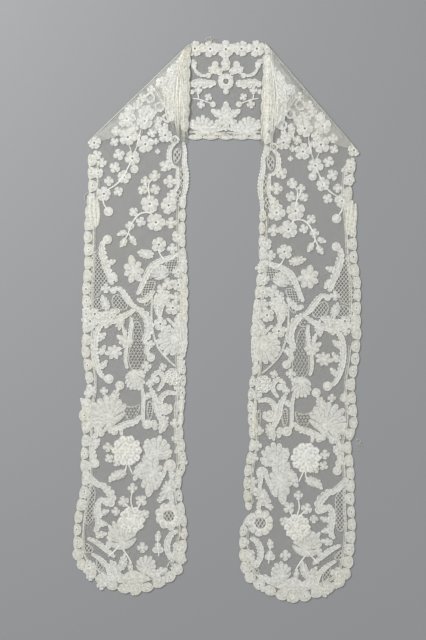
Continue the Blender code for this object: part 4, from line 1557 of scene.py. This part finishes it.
@dataclass(frozen=True)
class Finish:
    """Cotton and linen thread, in one kind of work.

    name: the material's name
    clean: colour where it is clean
    yellowed: colour where it has aged
    ageing: how much of it has aged
    pitch: millimetres from stitch to stitch
    relief: depth of the stitches in millimetres
    darkening: how much painted shade darkens the gaps between stitches
    roughness: how rough the thread is
    gloss: how much it shines
    """

    name: str
    clean: tuple[float, float, float]
    yellowed: tuple[float, float, float]
    ageing: float = 0.5
    pitch: float = 0.8
    relief: float = 0.12
    darkening: float = 0.25
    roughness: float = 0.92
    gloss: float = 0.2

    def material(self) -> bpy.types.Material:
        """Makes the material, the first time that it is asked for.

        Returns:
            The material.
        """
        known = bpy.data.materials.get(self.name)
        if known:
            return known
        material = bpy.data.materials.new(self.name)
        material.use_nodes = True
        wiring = Wiring(material.node_tree)
        shader = material.node_tree.nodes["Principled BSDF"]
        wiring.feed(shader, {"Roughness": self.roughness, "Specular IOR Level": self.gloss})
        self.dress(wiring, shader, wiring.put("ShaderNodeTexCoord").outputs["Object"])
        return material

    def coloured(self, wiring: Wiring, place: bpy.types.NodeSocket) -> bpy.types.NodeSocket:
        """Adds the ageing group with this finish's colours, and gives its colour."""
        tints = {"Clean": (*self.clean, 1.0), "Yellowed": (*self.yellowed, 1.0)}
        return wiring.group(THREAD_WORK.ageing, Place=place, Amount=self.ageing, **tints)["Color"]

    def raise_by(self, wiring: Wiring, shader: bpy.types.Node, height: bpy.types.NodeSocket) -> None:
        """Bends the shader's normal over a height.

        Args:
            wiring: the material's wiring.
            shader: the shader that gets the bent normal.
            height: the height, as a share of the relief.
        """
        bump = wiring.put("ShaderNodeBump")
        wiring.feed(bump, {"Strength": 1.0, "Distance": self.relief * MM, "Height": height})
        wiring.feed(shader, {"Normal": bump.outputs["Normal"]})

    def dress(self, wiring: Wiring, shader: bpy.types.Node, place: bpy.types.NodeSocket) -> None:
        """Wires the weave, the ageing, painted shade in the weave's gaps and by the worked depth, and the
        relief to the shader.

        Args:
            wiring: the material's wiring.
            shader: its shader.
            place: where on the stole the shading is.
        """
        weave = wiring.group(THREAD_WORK.weave, Place=place, Pitch=self.pitch * MM)
        # Painted shade in the weave's low gaps, then painted shade and highlight by the worked depth
        gaps = wiring.calc("MULTIPLY", weave["Gaps"], self.darkening)
        shade = wiring.mix(gaps, self.coloured(wiring, place), GAP_SHADE, blend="MULTIPLY")
        depth = wiring.put("ShaderNodeAttribute", attribute_name=WORKED_DEPTH).outputs["Fac"]
        worked = wiring.group(THREAD_WORK.depth, Depth=depth, Clean=shade, Openness=weave["Openness"])
        wiring.feed(shader, {"Base Color": worked["Color"]})
        self.raise_by(wiring, shader, weave["Height"])


@dataclass(frozen=True)
class NetFinish(Finish):
    """Fine net, seen through between its threads.

    cell: millimetres from mesh to mesh
    thread: half a thread's width, as a share of a mesh
    turn: degrees that its rows are turned by
    """

    cell: float = 1.5
    thread: float = 0.13
    turn: float = 0.0

    def dress(self, wiring: Wiring, shader: bpy.types.Node, place: bpy.types.NodeSocket) -> None:
        """Wires the net and the ageing to the shader.

        Args:
            wiring: the material's wiring.
            shader: its shader.
            place: where on the stole the shading is.
        """
        turned = wiring.put("ShaderNodeVectorRotate", rotation_type="Z_AXIS")
        wiring.feed(turned, {"Vector": place, "Angle": math.radians(self.turn)})
        net = wiring.group(
            THREAD_WORK.net, Place=turned.outputs["Vector"], Cell=self.cell * MM, Thread=self.thread)
        wiring.feed(shader, {"Base Color": self.coloured(wiring, place), "Alpha": net["Cover"]})
        self.raise_by(wiring, shader, net["Height"])


THREAD_WORK = ThreadWork()
NET_FINISH = NetFinish("fine net ground", (0.62, 0.625, 0.595), (0.60, 0.585, 0.50), 0.35, relief=0.15)
UNDER_FINISH = NetFinish("fine net under the fronts", (0.57, 0.58, 0.545), (0.56, 0.55, 0.47), 0.35,
                         relief=0.15, thread=0.11, turn=37.0)
DOUBLE_FINISH = NetFinish("net laid double", (0.80, 0.80, 0.76), (0.78, 0.76, 0.66), 0.35,
                          relief=0.15, thread=0.17, turn=64.0)
CLOTH_FINISH = Finish("close worked cloth", (0.895, 0.90, 0.85), (0.88, 0.86, 0.74), ageing=0.4)
EDGE_FINISH = Finish("corded edging", (0.88, 0.885, 0.815), (0.87, 0.84, 0.70), 0.4, pitch=1.1, relief=0.2)
BAR_FINISH = Finish("twisted bars", (0.80, 0.805, 0.745), (0.79, 0.76, 0.64), pitch=0.6, relief=0.15)
GATHER_FINISH = Finish("gathered lace", (0.89, 0.885, 0.79), (0.88, 0.85, 0.70), ageing=0.6, pitch=0.9)
THREAD_FINISH = Finish("loose thread", (0.8, 0.79, 0.7), (0.78, 0.72, 0.58), pitch=0.4, relief=0.08)


@dataclass
class Edging:
    """The chain of scalloped lobes along a stretch's edges, with cords inside it.

    depth: how far in the lobes reach, in millimetres
    narrow: how far in they reach on a narrow edge
    shortest: the shortest run between two notches that still is a scallop
    longest: the longest such run
    eye: radius of a lobe's pinhole
    pierced: the share of the lobes that have one
    cords: kind and width of the cords inside the lobes
    apart: how far apart the cords are
    draw: the unevenness of the lobes
    """

    depth: float = 13.5
    narrow: float = 9.5
    shortest: float = 8.0
    longest: float = 40.0
    eye: float = 1.2
    pierced: float = 0.55
    cords: tuple[tuple[Outline, float], ...] = ((Outline.THIN, 3.4), (Outline.STEM, 1.2))
    apart: float = 3.0
    draw: random.Random = field(default_factory=lambda: random.Random(5))

    def notches(self, outline: list[Place]) -> list[int]:
        """Finds where an outline bends inwards.

        Args:
            outline: the outline's corners.

        Returns:
            The numbers of those corners.
        """
        found = []
        for i, (bx, by) in enumerate(outline):
            ax, ay = outline[i - 1]
            cx, cy = outline[(i + 1) % len(outline)]
            bend = (bx - ax) * (cy - by) - (by - ay) * (cx - bx)
            if bend < -0.18 * math.hypot(bx - ax, by - ay) * math.hypot(cx - bx, cy - by):
                found.append(i)
        return found

    def work(self, mesh: LaceMesh, outline: list[Place], is_narrow: Callable[[Place], bool],
             is_edged: Callable[[Place], bool] = lambda place: True) -> None:
        """Works the lobes and their cords.

        Args:
            mesh: where they go.
            outline: the stretch's outline, anticlockwise.
            is_narrow: tells of a place on the edge whether the edging is narrow there.
            is_edged: tells of a place on the edge whether it has edging at all.
        """
        notches = self.notches(outline)
        runs = []
        for near, far in zip(notches, notches[1:] + notches[:1]):
            count = (far - near) % len(outline)
            crown = [outline[(near + i) % len(outline)] for i in range(count + 1)]
            chord = math.dist(crown[0], crown[-1])
            if self.shortest < chord < self.longest and count > 1 and is_edged(crown[0]):
                reach = self.narrow if is_narrow(crown[0]) else self.depth
                self._lobe(mesh, crown, reach)
                runs.append((crown, reach))
            else:
                self._cords(mesh, runs)
                runs = []
        self._cords(mesh, runs)

    def _inward(self, crown: list[Place]) -> tuple[Place, Place]:
        """Finds how a scallop lies.

        Args:
            crown: the places along its crown.

        Returns:
            The direction along it and the one into the cloth, each one long.
        """
        (ax, ay), (bx, by) = crown[0], crown[-1]
        run = math.dist(crown[0], crown[-1])
        return ((bx - ax) / run, (by - ay) / run), (-(by - ay) / run, (bx - ax) / run)

    def _lobe(self, mesh: LaceMesh, crown: list[Place], reach: float) -> None:
        """Works one lobe under a scallop.

        Args:
            mesh: where it goes.
            crown: the scallop's places, from notch to notch.
            reach: how far in the lobes reach here.
        """
        along, inward = self._inward(crown)
        chord = math.dist(crown[0], crown[-1])
        bulge = max((crown[0][0] - x) * inward[0] + (crown[0][1] - y) * inward[1] for x, y in crown)
        depth = reach * self.draw.uniform(0.78, 1.12)
        roundness = self.draw.uniform(2.5, 4.0)
        loop = []
        for share in (i / 10 for i in range(11)):
            loop.append((share * 1.03 - 0.015, -bulge * math.sin(math.pi * share) ** 0.7))
        for share in (1 - i / 12 for i in range(1, 12)):
            loop.append((share, depth * (1 - abs(2 * share - 1) ** roundness) ** 0.6))
        places = [(*moved(moved(crown[0], along, chord * share), inward, deep), 0.0) for share, deep in loop]
        middle = moved(crown[0], along, self.draw.uniform(0.42, 0.58) * chord)
        centre = moved(middle, inward, (depth - bulge) * self.draw.uniform(0.32, 0.5))
        eye = self.eye * self.draw.uniform(0.7, 1.2) if self.draw.random() < self.pierced else 0.0
        Stamp(cord=1.3).work(mesh, places, centre, eye, crown=0.2)

    def _cords(self, mesh: LaceMesh, runs: list[tuple[list[Place], float]]) -> None:
        """Works the cords that run along inside some lobes.

        Args:
            mesh: where they go.
            runs: each lobe's scallop, and how far in the lobes reach there.
        """
        if len(runs) < 2:
            return
        for level, (outline, width) in enumerate(self.cords):
            path = []
            for crown, reach in runs:
                middle = between(crown[0], crown[-1], 0.5)
                path.append(moved(middle, self._inward(crown)[1], reach + 0.6 + self.apart * level))
            work_band(mesh, outline, width, smooth_path(path, 4))


@dataclass
class Net:
    """The thin sheet of fine net of one stretch.

    ground: the wall that it stands for
    step: millimetres between the points inside it
    row: from one row of points to the next, as a share of the step
    fold_round: lines of the round of a fold, as how far out each lies, in millimetres, and its height as a
        share of the sheet's
    openings: the outlines of its open fillings
    """

    ground: Ground
    step: float = NET_STEP
    row: float = 0.87
    fold_round: tuple[Place, ...] = (
        (-1.5, 1.06), (-0.2, 1.04), (0.5, 0.85), (1.0, 0.5), (0.6, 0.18), (-0.6, 0.1))
    openings: list[list[Place]] = field(default_factory=list)

    def work(self, mesh: LaceMesh) -> None:
        """Fills the outline with a fine, draped sheet, open at the fillings.

        Args:
            mesh: where it goes.
        """
        outline = self.ground.outline
        places = []
        edges = []
        for rim in (outline, *self.openings):
            first = len(places)
            places += rim
            edges += [(first + i, first + (i + 1) % len(rim)) for i in range(len(rim))]
        xs, ys = zip(*outline)
        across = int((max(xs) - min(xs)) / self.step)
        down = int((max(ys) - min(ys)) / (self.step * self.row))
        for row in range(1, down):
            for column in range(across):
                x = min(xs) + (column + 0.5 * (row % 2) + 0.25) * self.step
                place = (x, min(ys) + row * self.step * self.row)
                if self._is_cloth(place) and self._is_clear(place):
                    places.append(place)
        found = delaunay_2d_cdt([Vector(place) for place in places], edges, [], 1, 1e-5)
        numbers = {}
        for face in found[2]:
            if not self._is_cloth(tuple(sum(found[0][i][k] for i in face) / len(face) for k in (0, 1))):
                continue
            for i in face:
                if i not in numbers:
                    numbers[i] = mesh.add_point(found[0][i][0], found[0][i][1], 0.0)
            mesh.faces.append(tuple(numbers[i] for i in face))

    def _is_cloth(self, place: Place) -> bool:
        """Whether a place is on the net, and not past its edge or in an opening."""
        in_opening = any(is_inside(place, rim) for rim in self.openings)
        return is_inside(place, self.ground.outline) and not in_opening

    def _is_clear(self, place: Place) -> bool:
        """Whether a place is clear of the corners of the net's edge."""
        near = 0.45 * self.step
        return all(abs(place[0] - x) > near or abs(place[1] - y) > near for x, y in self.ground.outline)

    def work_fold(self, mesh: LaceMesh, fold: Fold) -> None:
        """Rolls the sheet's edge down and under along a fold.

        Args:
            mesh: where it goes.
            fold: the fold.
        """
        (top, foot), outward = fold.ends(), fold.outward()
        steps = int(math.dist(top, foot) / 5)
        rows = []
        for i in range(steps + 1):
            place = between(top, foot, i / steps)
            high = self.ground.height_at(*moved(place, outward, self.fold_round[0][0])) + NET_LIFT
            row = []
            for out, share in self.fold_round:
                x, y = moved(place, outward, out)
                row.append((x, y, high * share - self.ground.height_at(x, y) - mesh.lift))
            rows.append(row)
        mesh.add_rows(rows, closed=False)


@dataclass
class Stretch:
    """One stretch of the strip, with its net, work, fillings and edging.

    node: the CAD node that it stands for
    flat: width and length that it was worked to, in metres; not used
    area: its flat area in square metres; not used
    held: how it lies; not used
    rests_on: the stretches under it
    folds: the folds that its work stays inside
    hand: 1, or -1 where the work is turned over
    net_finish: what its net is dressed in
    ground: the wall that it stands for
    parts: the pieces that lie on its net
    openings: the outlines of its open fillings
    """

    node: str
    flat: tuple[float, float]
    area: float
    held: Held
    rests_on: tuple[str, ...] = ()
    folds: tuple[Fold, ...] = (LEFT_FOLD, RIGHT_FOLD)
    hand: int = 1
    net_finish: NetFinish = UNDER_FINISH
    ground: Ground = field(init=False)
    parts: list[bpy.types.Object] = field(init=False, default_factory=list)
    openings: list[list[Place]] = field(init=False, default_factory=list)

    def __post_init__(self) -> None:
        """Reads the wall that it stands for, and starts its meshes."""
        self.ground = Ground(self.node)
        self.net_mesh = LaceMesh(self.ground)
        self.cloth_mesh = self.worked_mesh()
        self.scroll_mesh = self.worked_mesh()
        self.bloom_mesh = self.worked_mesh()
        self.edge_mesh = self.worked_mesh()
        self.bar_mesh = self.worked_mesh()
        self.gather_mesh = self.worked_mesh()
        self.stamp = Stamp()

    def worked_mesh(self, raised: float = 0.0) -> LaceMesh:
        """Starts a mesh for work on the net, raised over it by some millimetres."""
        return LaceMesh(self.ground, NET_LIFT + raised, self.folds)

    def place_on(self, right: float, down: float) -> Place:
        """Turns a place on the pattern into millimetres in the frame."""
        return frame_place(right, down)

    def path_on(self, places: tuple[Place, ...]) -> list[Place]:
        """A smooth path through places on the pattern."""
        return smooth_path([self.place_on(*place) for place in places])

    def work_motifs(self, motifs: MotifTable) -> None:
        """Works a table of motifs, but for those whose middle is past a fold.

        Args:
            motifs: rows of (right, down, radius, turn) for each kind; no turn is 0.
        """
        for motif, rows in motifs.items():
            for right, down, radius, *turned in rows:
                at = self.place_on(right, down)
                if all(fold.depth_at(*at) > fold.margin for fold in self.folds):
                    self.work_motif(motif, at, radius * SQUARE, turned[0] if turned else 0.0)

    def work_bands(self, bands: BandTable) -> None:
        """Works a table of bands.

        Args:
            bands: rows of (width, path) for each kind.
        """
        for outline, rows in bands.items():
            for width, path in rows:
                work_band(self.scroll_mesh, outline, width * SQUARE, self.path_on(path)[::self.hand])

    def work_opening(self, filling: Filling, rim: list[Place]) -> None:
        """Works an open filling, and keeps its outline for the net."""
        self.openings.append(rim)
        work_filling(self.bar_mesh, filling, rim, self.hand)

    def work_motif(self, motif: Motif, at: Place, radius: float, turn: float) -> None:
        """Works one motif.

        Args:
            motif: what it is.
            at: its middle.
            radius: its radius in millimetres.
            turn: the direction that it points in, in degrees.
        """
        if motif is Motif.MEDALLION:
            heart = MEDALLION_HEART * radius
            self.work_form(FORMS[motif], at, radius, eye=heart)
            work_filling(self.bar_mesh, Filling.DIAMOND, oval(at, heart, heart, 18), self.hand)
            return
        self.work_form(FORMS[motif], at, radius, turn)
        if motif is Motif.BOUQUET:
            self._bouquet(at, radius)
        if motif is Motif.BALL and radius > SPIRAL_LEAST:
            self._spiral(at, radius)

    def work_form(self, form: Form, at: Place, radius: float, turn: float = 0.0,
                  eye: float | None = None) -> None:
        """Works close cloth in one form.

        Args:
            form: the form.
            at: its middle.
            radius: its radius in millimetres.
            turn: the direction that it points in, in degrees.
            eye: radius of the hole in its middle, where it isn't the form's own.
        """
        cos, sin = math.cos(math.radians(turn)), math.sin(math.radians(turn))
        loop = []
        for along, aside, nearness in self.stamp.loops(form, radius):
            right = along * cos - aside * sin
            loop.append((at[0] + self.hand * right, at[1] + along * sin + aside * cos, nearness))
        centre = at if form.spread >= 360 else moved(at, (self.hand * cos, sin), -FAN_CENTRE * radius)
        self.stamp.work(self.cloth_mesh, loop, centre, form.eye if eye is None else eye, form.slit)

    def work_bloom(self, mesh: LaceMesh, form: Form, at: Place, radius: float) -> None:
        """Works one small bloom or ring on top of other work."""
        loop = [(at[0] + x, at[1] + y, nearness) for x, y, nearness in self.stamp.loops(form, radius)]
        Stamp(cord=1.0).work(mesh, loop, at, form.eye, form.slit)

    def _bouquet(self, at: Place, radius: float) -> None:
        """Works small ringed blooms, set close together over a bouquet.

        Args:
            at: the bouquet's middle.
            radius: its radius in millimetres.
        """
        raised = self.worked_mesh(CLOTH_HEIGHT)
        for ring, (count, reach) in enumerate(BLOOM_RINGS):
            for i in range(count):
                angle = 2 * math.pi * (i + 0.5 * ring) / count
                place = on_circle(at, radius * reach, angle, self.hand)
                self.work_bloom(raised, BLOOM_FORM, place, radius * BLOOM_SHARE)
        self.bloom_mesh.take_in(raised)

    def _spiral(self, at: Place, radius: float) -> None:
        """Works a cord wound inside a ball.

        Args:
            at: the ball's middle.
            radius: its radius in millimetres.
        """
        path = [on_circle(at, radius * (0.16 + 0.44 * i / SPIRAL_STEPS), math.radians(30 * i), self.hand)
                for i in range(SPIRAL_STEPS + 1)]
        raised = self.worked_mesh(0.5 * CLOTH_HEIGHT)
        work_band(raised, Outline.STEM, 1.3, path)
        self.cloth_mesh.take_in(raised)

    def finish(self) -> None:
        for label, mesh, finish in (
            ("clothwork", self.cloth_mesh, CLOTH_FINISH),
            ("scrolls", self.scroll_mesh, CLOTH_FINISH),
            ("blooms", self.bloom_mesh, CLOTH_FINISH),
            ("edging", self.edge_mesh, EDGE_FINISH),
            ("fillings", self.bar_mesh, BAR_FINISH),
            ("gathers", self.gather_mesh, GATHER_FINISH),
        ):
            if mesh.faces:
                self.parts.append(mesh.make(f"{self.node}_{label}", finish, Slot.CLOTHWORK))
        sheet = self.net_mesh.make(f"{self.node}_net", self.net_finish, Slot.NET)
        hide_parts(self.node)
        list(self.rests_on)
        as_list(self.parts)


@dataclass
class Front(Stretch):
    """One long front, from its fold to its rounded end.

    middle: the two ends of its middle line, in squares
    narrow_to: how far down its inner edge stays narrow, in squares
    bare: from where to where, in squares, bands take the place of the lobes of its inner edge
    net_finish: what its net is dressed in
    """

    middle: tuple[Place, Place] = LEFT_MIDDLE
    narrow_to: float = 541.0
    bare: tuple[float, float] = (143.0, 201.0)
    net_finish: NetFinish = NET_FINISH

    def place_on(self, right: float, down: float) -> Place:
        """Turns a place on the left front's pattern into millimetres in the frame.

        Args:
            right: squares to the right.
            down: squares down.

        Returns:
            The place on this front.
        """
        side = middle_at(LEFT_MIDDLE, down) - right
        down += self.middle[0][1] - LEFT_MIDDLE[0][1]
        return frame_place(middle_at(self.middle, down) - self.hand * side, down)

    def build(self) -> None:
        """Works the whole front."""
        for filling, outlines in FRONT_FILLINGS.items():
            for corners in outlines:
                self.work_opening(filling, rounded([self.place_on(*corner) for corner in corners]))
        self.work_opening(Filling.BOLD, oval(self.place_on(*ROSE_AT), ROSE_HEART, ROSE_HEART))
        net = Net(self.ground, openings=self.openings)
        net.work(self.net_mesh)
        net.work_fold(self.net_mesh, self.folds[0])
        self._turn_margin(self.folds[0])
        self.work_motifs(FRONT_MOTIFS)
        self.work_bands(FRONT_BANDS)
        self._rose()
        Pleats().work(self.gather_mesh, self)
        for width, path in ROLLS:
            work_band(self.gather_mesh, Outline.ROLL, width * SQUARE, self.path_on(path))
        Edging().work(self.edge_mesh, self.ground.outline, self._is_inner, self._is_edged)
        self.finish()

    def _turn_margin(self, fold: Fold) -> None:
        """Works the net that lies double along the fold, and the bright line on the fold.

        Args:
            fold: the fold at the front's top.
        """
        (top, foot), outward = fold.ends(), fold.outward()
        margin = self.worked_mesh(DOUBLE_LIFT)
        rows = []
        for share in (i / DOUBLE_STEPS for i in range(DOUBLE_STEPS + 1)):
            reach = DOUBLE_LEAST + DOUBLE_REACH * math.sin(math.pi * share) ** 0.8
            place = between(top, foot, 0.02 + 0.96 * share)
            parts = (0.02, 0.25, 0.5, 0.75, 1.0)
            rows.append([(*moved(place, outward, -part * reach), 0.0) for part in parts])
        margin.add_rows(rows, closed=False)
        self.parts.append(margin.make(f"{self.node}_turned_margin", DOUBLE_FINISH, Slot.NET))
        lip = [moved(between(top, foot, share), outward, -FOLD_LINE / 2) for share in (0.02, 0.5, 0.99)]
        work_band(self.gather_mesh, Outline.STEM, FOLD_LINE, lip)

    def _is_inner(self, place: Place) -> bool:
        """Tells whether a place on the edge is on the narrow, inner side.

        Args:
            place: where it is.

        Returns:
            True on that side.
        """
        down = level_of(place[1])
        centre = frame_place(middle_at(self.middle, down), down)[0]
        return self.hand * (place[0] - centre) > 0 and down < self.narrow_to

    def _is_edged(self, place: Place) -> bool:
        """Whether a place on the edge has lobes, and not a band along it."""
        down = level_of(place[1]) - self.middle[0][1] + LEFT_MIDDLE[0][1]
        return not (self._is_inner(place) and self.bare[0] < down < self.bare[1])

    def _rose(self) -> None:
        """Works the rose's petals round its heart, each with a ring on it."""
        at = self.place_on(*ROSE_AT)
        self.work_form(ROSE_FORM, at, ROSE_RADIUS, eye=ROSE_HEART - 0.5)
        raised = self.worked_mesh(0.5 * CLOTH_HEIGHT)
        for i in range(ROSE_FORM.lobes):
            place = on_circle(at, 0.7 * ROSE_RADIUS, 2 * math.pi * (i + 0.5) / ROSE_FORM.lobes)
            self.work_bloom(raised, RING_FORM, place, ROSE_RING)
        self.cloth_mesh.take_in(raised)


@dataclass
class NeckBand(Stretch):
    """The middle of the strip, straight across the back of the neck."""

    def place_on(self, right: float, down: float) -> Place:
        """Turns a place from the middle into millimetres in the frame."""
        return frame_place(NECK_MIDDLE + self.hand * right, down)

    def build(self) -> None:
        """Works the whole neck band, its motifs and bands once for each half."""
        self._centre()
        for right in HEM_MEDALLIONS:
            rim = oval(frame_place(right, HEM_DOWN), HEM_LENS[0] * SQUARE, HEM_LENS[1] * SQUARE)
            self.work_opening(Filling.BOLD, rim)
        Net(self.ground, openings=self.openings).work(self.net_mesh)
        off_middle = {motif: [row for row in rows if row[0]] for motif, rows in NECK_MOTIFS.items()}
        for hand, motifs in ((1, NECK_MOTIFS), (-1, off_middle)):
            self.hand = hand
            self.work_motifs(motifs)
            self.work_bands(NECK_BANDS)
        hem = Edging(depth=5.0, narrow=5.0, eye=0.0)
        hem.work(self.edge_mesh, self.ground.outline, self._is_hem, self._is_hem)
        self.finish()

    def _is_hem(self, place: Place) -> bool:
        """Whether a place on the edge is on the hem."""
        return level_of(place[1]) > HEM_TOP

    def _centre(self) -> None:
        """Works the round medallion at the middle, with two bars across its open heart."""
        x, y = self.place_on(0, CENTRE_DOWN)
        self.work_form(CENTRE_FORM, (x, y), CENTRE_RADIUS, eye=CENTRE_HEART)
        self.openings.append(oval((x, y), CENTRE_HEART, CENTRE_HEART))
        for aside in CENTRE_BARS:
            path = smooth_path([(x + aside, y + CENTRE_HEART), (x + aside, y - CENTRE_HEART)])
            work_band(self.cloth_mesh, Outline.BAND, CENTRE_BAR, path)


@dataclass
class Tuck(Stretch):
    """A triangular tuck between the neck band and a front."""

    def place_on(self, right: float, down: float) -> Place:
        """Turns a place on the left tuck into millimetres in the frame, turned over for the right."""
        return frame_place(TUCK_MIDDLE + self.hand * (right - TUCK_MIDDLE), down)

    def build(self) -> None:
        """Works the whole tuck."""
        Net(self.ground).work(self.net_mesh)
        self.work_bands(TUCK_BANDS)
        self.work_motifs(TUCK_MOTIFS)
        Edging(depth=8.0, narrow=8.0).work(self.edge_mesh, self.ground.outline, lambda place: False)
        self.finish()


@dataclass
class LooseThreads:
    """Broken ends of thread that stand out from the edges.

    thickness: the thread's thickness in millimetres
    sides: how many sides its round section has
    """

    thickness: float = 0.55
    sides: int = 6

    def build(self) -> None:
        """Makes all the threads as one mesh of fine tubes."""
        points, faces = [], []
        for places in THREADS:
            path = [frame_place(*place) for place in smooth_path(places)]
            rings = []
            for i, (place, along) in enumerate(zip(path, headings(path))):
                half = self.thickness / 2 * (0.5 if i in (0, len(path) - 1) else 1.0)
                rings.append(range(len(points), len(points) + self.sides))
                for angle in (2 * math.pi * k / self.sides for k in range(self.sides)):
                    x, y = moved(place, (-along[1], along[0]), half * math.cos(angle))
                    z = 1.0 + 0.35 * math.sin(0.7 * i) + half * math.sin(angle)
                    points.append((x * MM, y * MM, z * MM))
            for near, far in zip(rings, rings[1:]):
                for k in range(self.sides):
                    j = (k + 1) % self.sides
                    faces.append((near[k], near[j], far[j], far[k]))
            faces += [tuple(rings[0])[::-1], tuple(rings[-1])]
        data = bpy.data.meshes.new("loose_threads")
        data.from_pydata(points, [], faces)
        # Every point counts as cord height, so the worked depth paints the threads at their lightest, as
        # painted highlight
        make_piece(data, [CORD_HEIGHT] * len(points), THREAD_FINISH, Slot.CLOTHWORK)


@dataclass
class Studio:
    """The plain floor, the soft lights and the camera straight above.

    floor_size: side of the floor in metres
    floor_down: how far under the stole it is, in metres
    floor_parts: how many parts each side of it is divided into
    floor_tints: the two colours of its grain
    lamps: each lamp's power in watts, and its size and place in metres
    surround: strength of the light from all round
    view_height: how much the picture takes in from top to bottom, in metres
    lens: the camera's focal length in millimetres
    sensor: its sensor's longer side in millimetres
    aim: what the picture's middle looks at, in metres
    """

    floor_size: float = 6.0
    floor_down: float = 0.0004
    floor_parts: int = 12
    floor_tints: tuple[tuple[float, ...], ...] = ((0.325, 0.33, 0.34, 1.0), (0.345, 0.35, 0.36, 1.0))
    lamps: tuple[tuple[float, float, tuple[float, float, float]], ...] = (
        (70.0, 0.7, (-1.9, 1.6, 1.35)), (15.0, 1.6, (1.8, -1.0, 2.2)))
    surround: float = 0.42
    view_height: float = 1.152
    lens: float = 85.0
    sensor: float = 36.0
    aim: Place = (-0.0071, 0.0030)

    def build(self) -> None:
        """Sets everything up."""
        self._floor()
        self._lamps()
        self._camera()
        bpy.context.scene.view_settings.view_transform = "Standard"

    def _floor(self) -> None:
        """Lays a plain pale board under the stole."""
        data = bpy.data.meshes.new("floor")
        marks = [self.floor_size * (i / self.floor_parts - 0.5) for i in range(self.floor_parts + 1)]
        points = [(x, y, -self.floor_down) for y in marks for x in marks]
        side = len(marks)
        starts = [j * side + i for j in range(side - 1) for i in range(side - 1)]
        data.from_pydata(points, [], [(k, k + 1, k + 1 + side, k + side) for k in starts])
        material = bpy.data.materials.new("pale board")
        material.use_nodes = True
        wiring = Wiring(material.node_tree)
        grain = wiring.noise(wiring.put("ShaderNodeTexCoord").outputs["Object"], 900.0)
        tint = wiring.mix(grain["Fac"], *self.floor_tints)
        shader = material.node_tree.nodes["Principled BSDF"]
        wiring.feed(shader, {"Base Color": tint, "Roughness": 0.95, "Specular IOR Level": 0.1})
        data.materials.append(material)
        put_out("floor", data)

    def _lamps(self) -> None:
        """Hangs a large soft lamp low at the upper left, a fill at the right, and a pale surround."""
        for name, (power, size, place) in zip(("key lamp", "fill lamp"), self.lamps):
            lamp = bpy.data.lights.new(name, "AREA")
            lamp.energy = power
            lamp.size = size
            carrier = put_out(name, lamp)
            carrier.location = place
            carrier.rotation_euler = (-Vector(place)).to_track_quat("-Z", "Y").to_euler()
        world = bpy.data.worlds.new("pale surround")
        world.use_nodes = True
        white = {"Color": (1.0, 1.0, 1.0, 1.0), "Strength": self.surround}
        Wiring(world.node_tree).feed(world.node_tree.nodes["Background"], white)
        bpy.context.scene.world = world

    def _camera(self) -> None:
        """Sets the camera straight above, level with the picture's edges."""
        lens = bpy.data.cameras.new("camera")
        lens.lens = self.lens
        lens.sensor_width = self.sensor
        lens.clip_end = 20.0
        camera = put_out("camera", lens)
        camera.location = (*self.aim, self.view_height * self.lens / self.sensor)
        camera.rotation_euler = (0.0, 0.0, 0.0)
        bpy.context.scene.camera = camera


def main() -> None:
    """Builds the stole's stretches from the lowest layer up, then the studio."""
    logging.basicConfig(level=logging.INFO, format="%(name)s %(message)s")
    NeckBand("neck_band", (0.18, 0.45), 0.06, Held.FOLDED).build()
    Tuck("left_tuck", (0.06, 0.14), 0.0045, Held.FOLDED, ("neck_band",), (LEFT_FOLD,), 1).build()
    Tuck("right_tuck", (0.06, 0.14), 0.0045, Held.FOLDED, ("neck_band",), (RIGHT_FOLD,), -1).build()
    Front("left_front", (0.2, 0.99), 0.17, Held.LAID, ("neck_band", "left_tuck"), (LEFT_FOLD,),
          1, middle=LEFT_MIDDLE).build()
    Front("right_front", (0.2, 1.0), 0.17, Held.LAID, ("neck_band", "right_tuck"), (RIGHT_FOLD,),
          -1, middle=RIGHT_MIDDLE).build()
    LooseThreads().build()
    Studio().build()


if __name__ == "__main__":
    main()
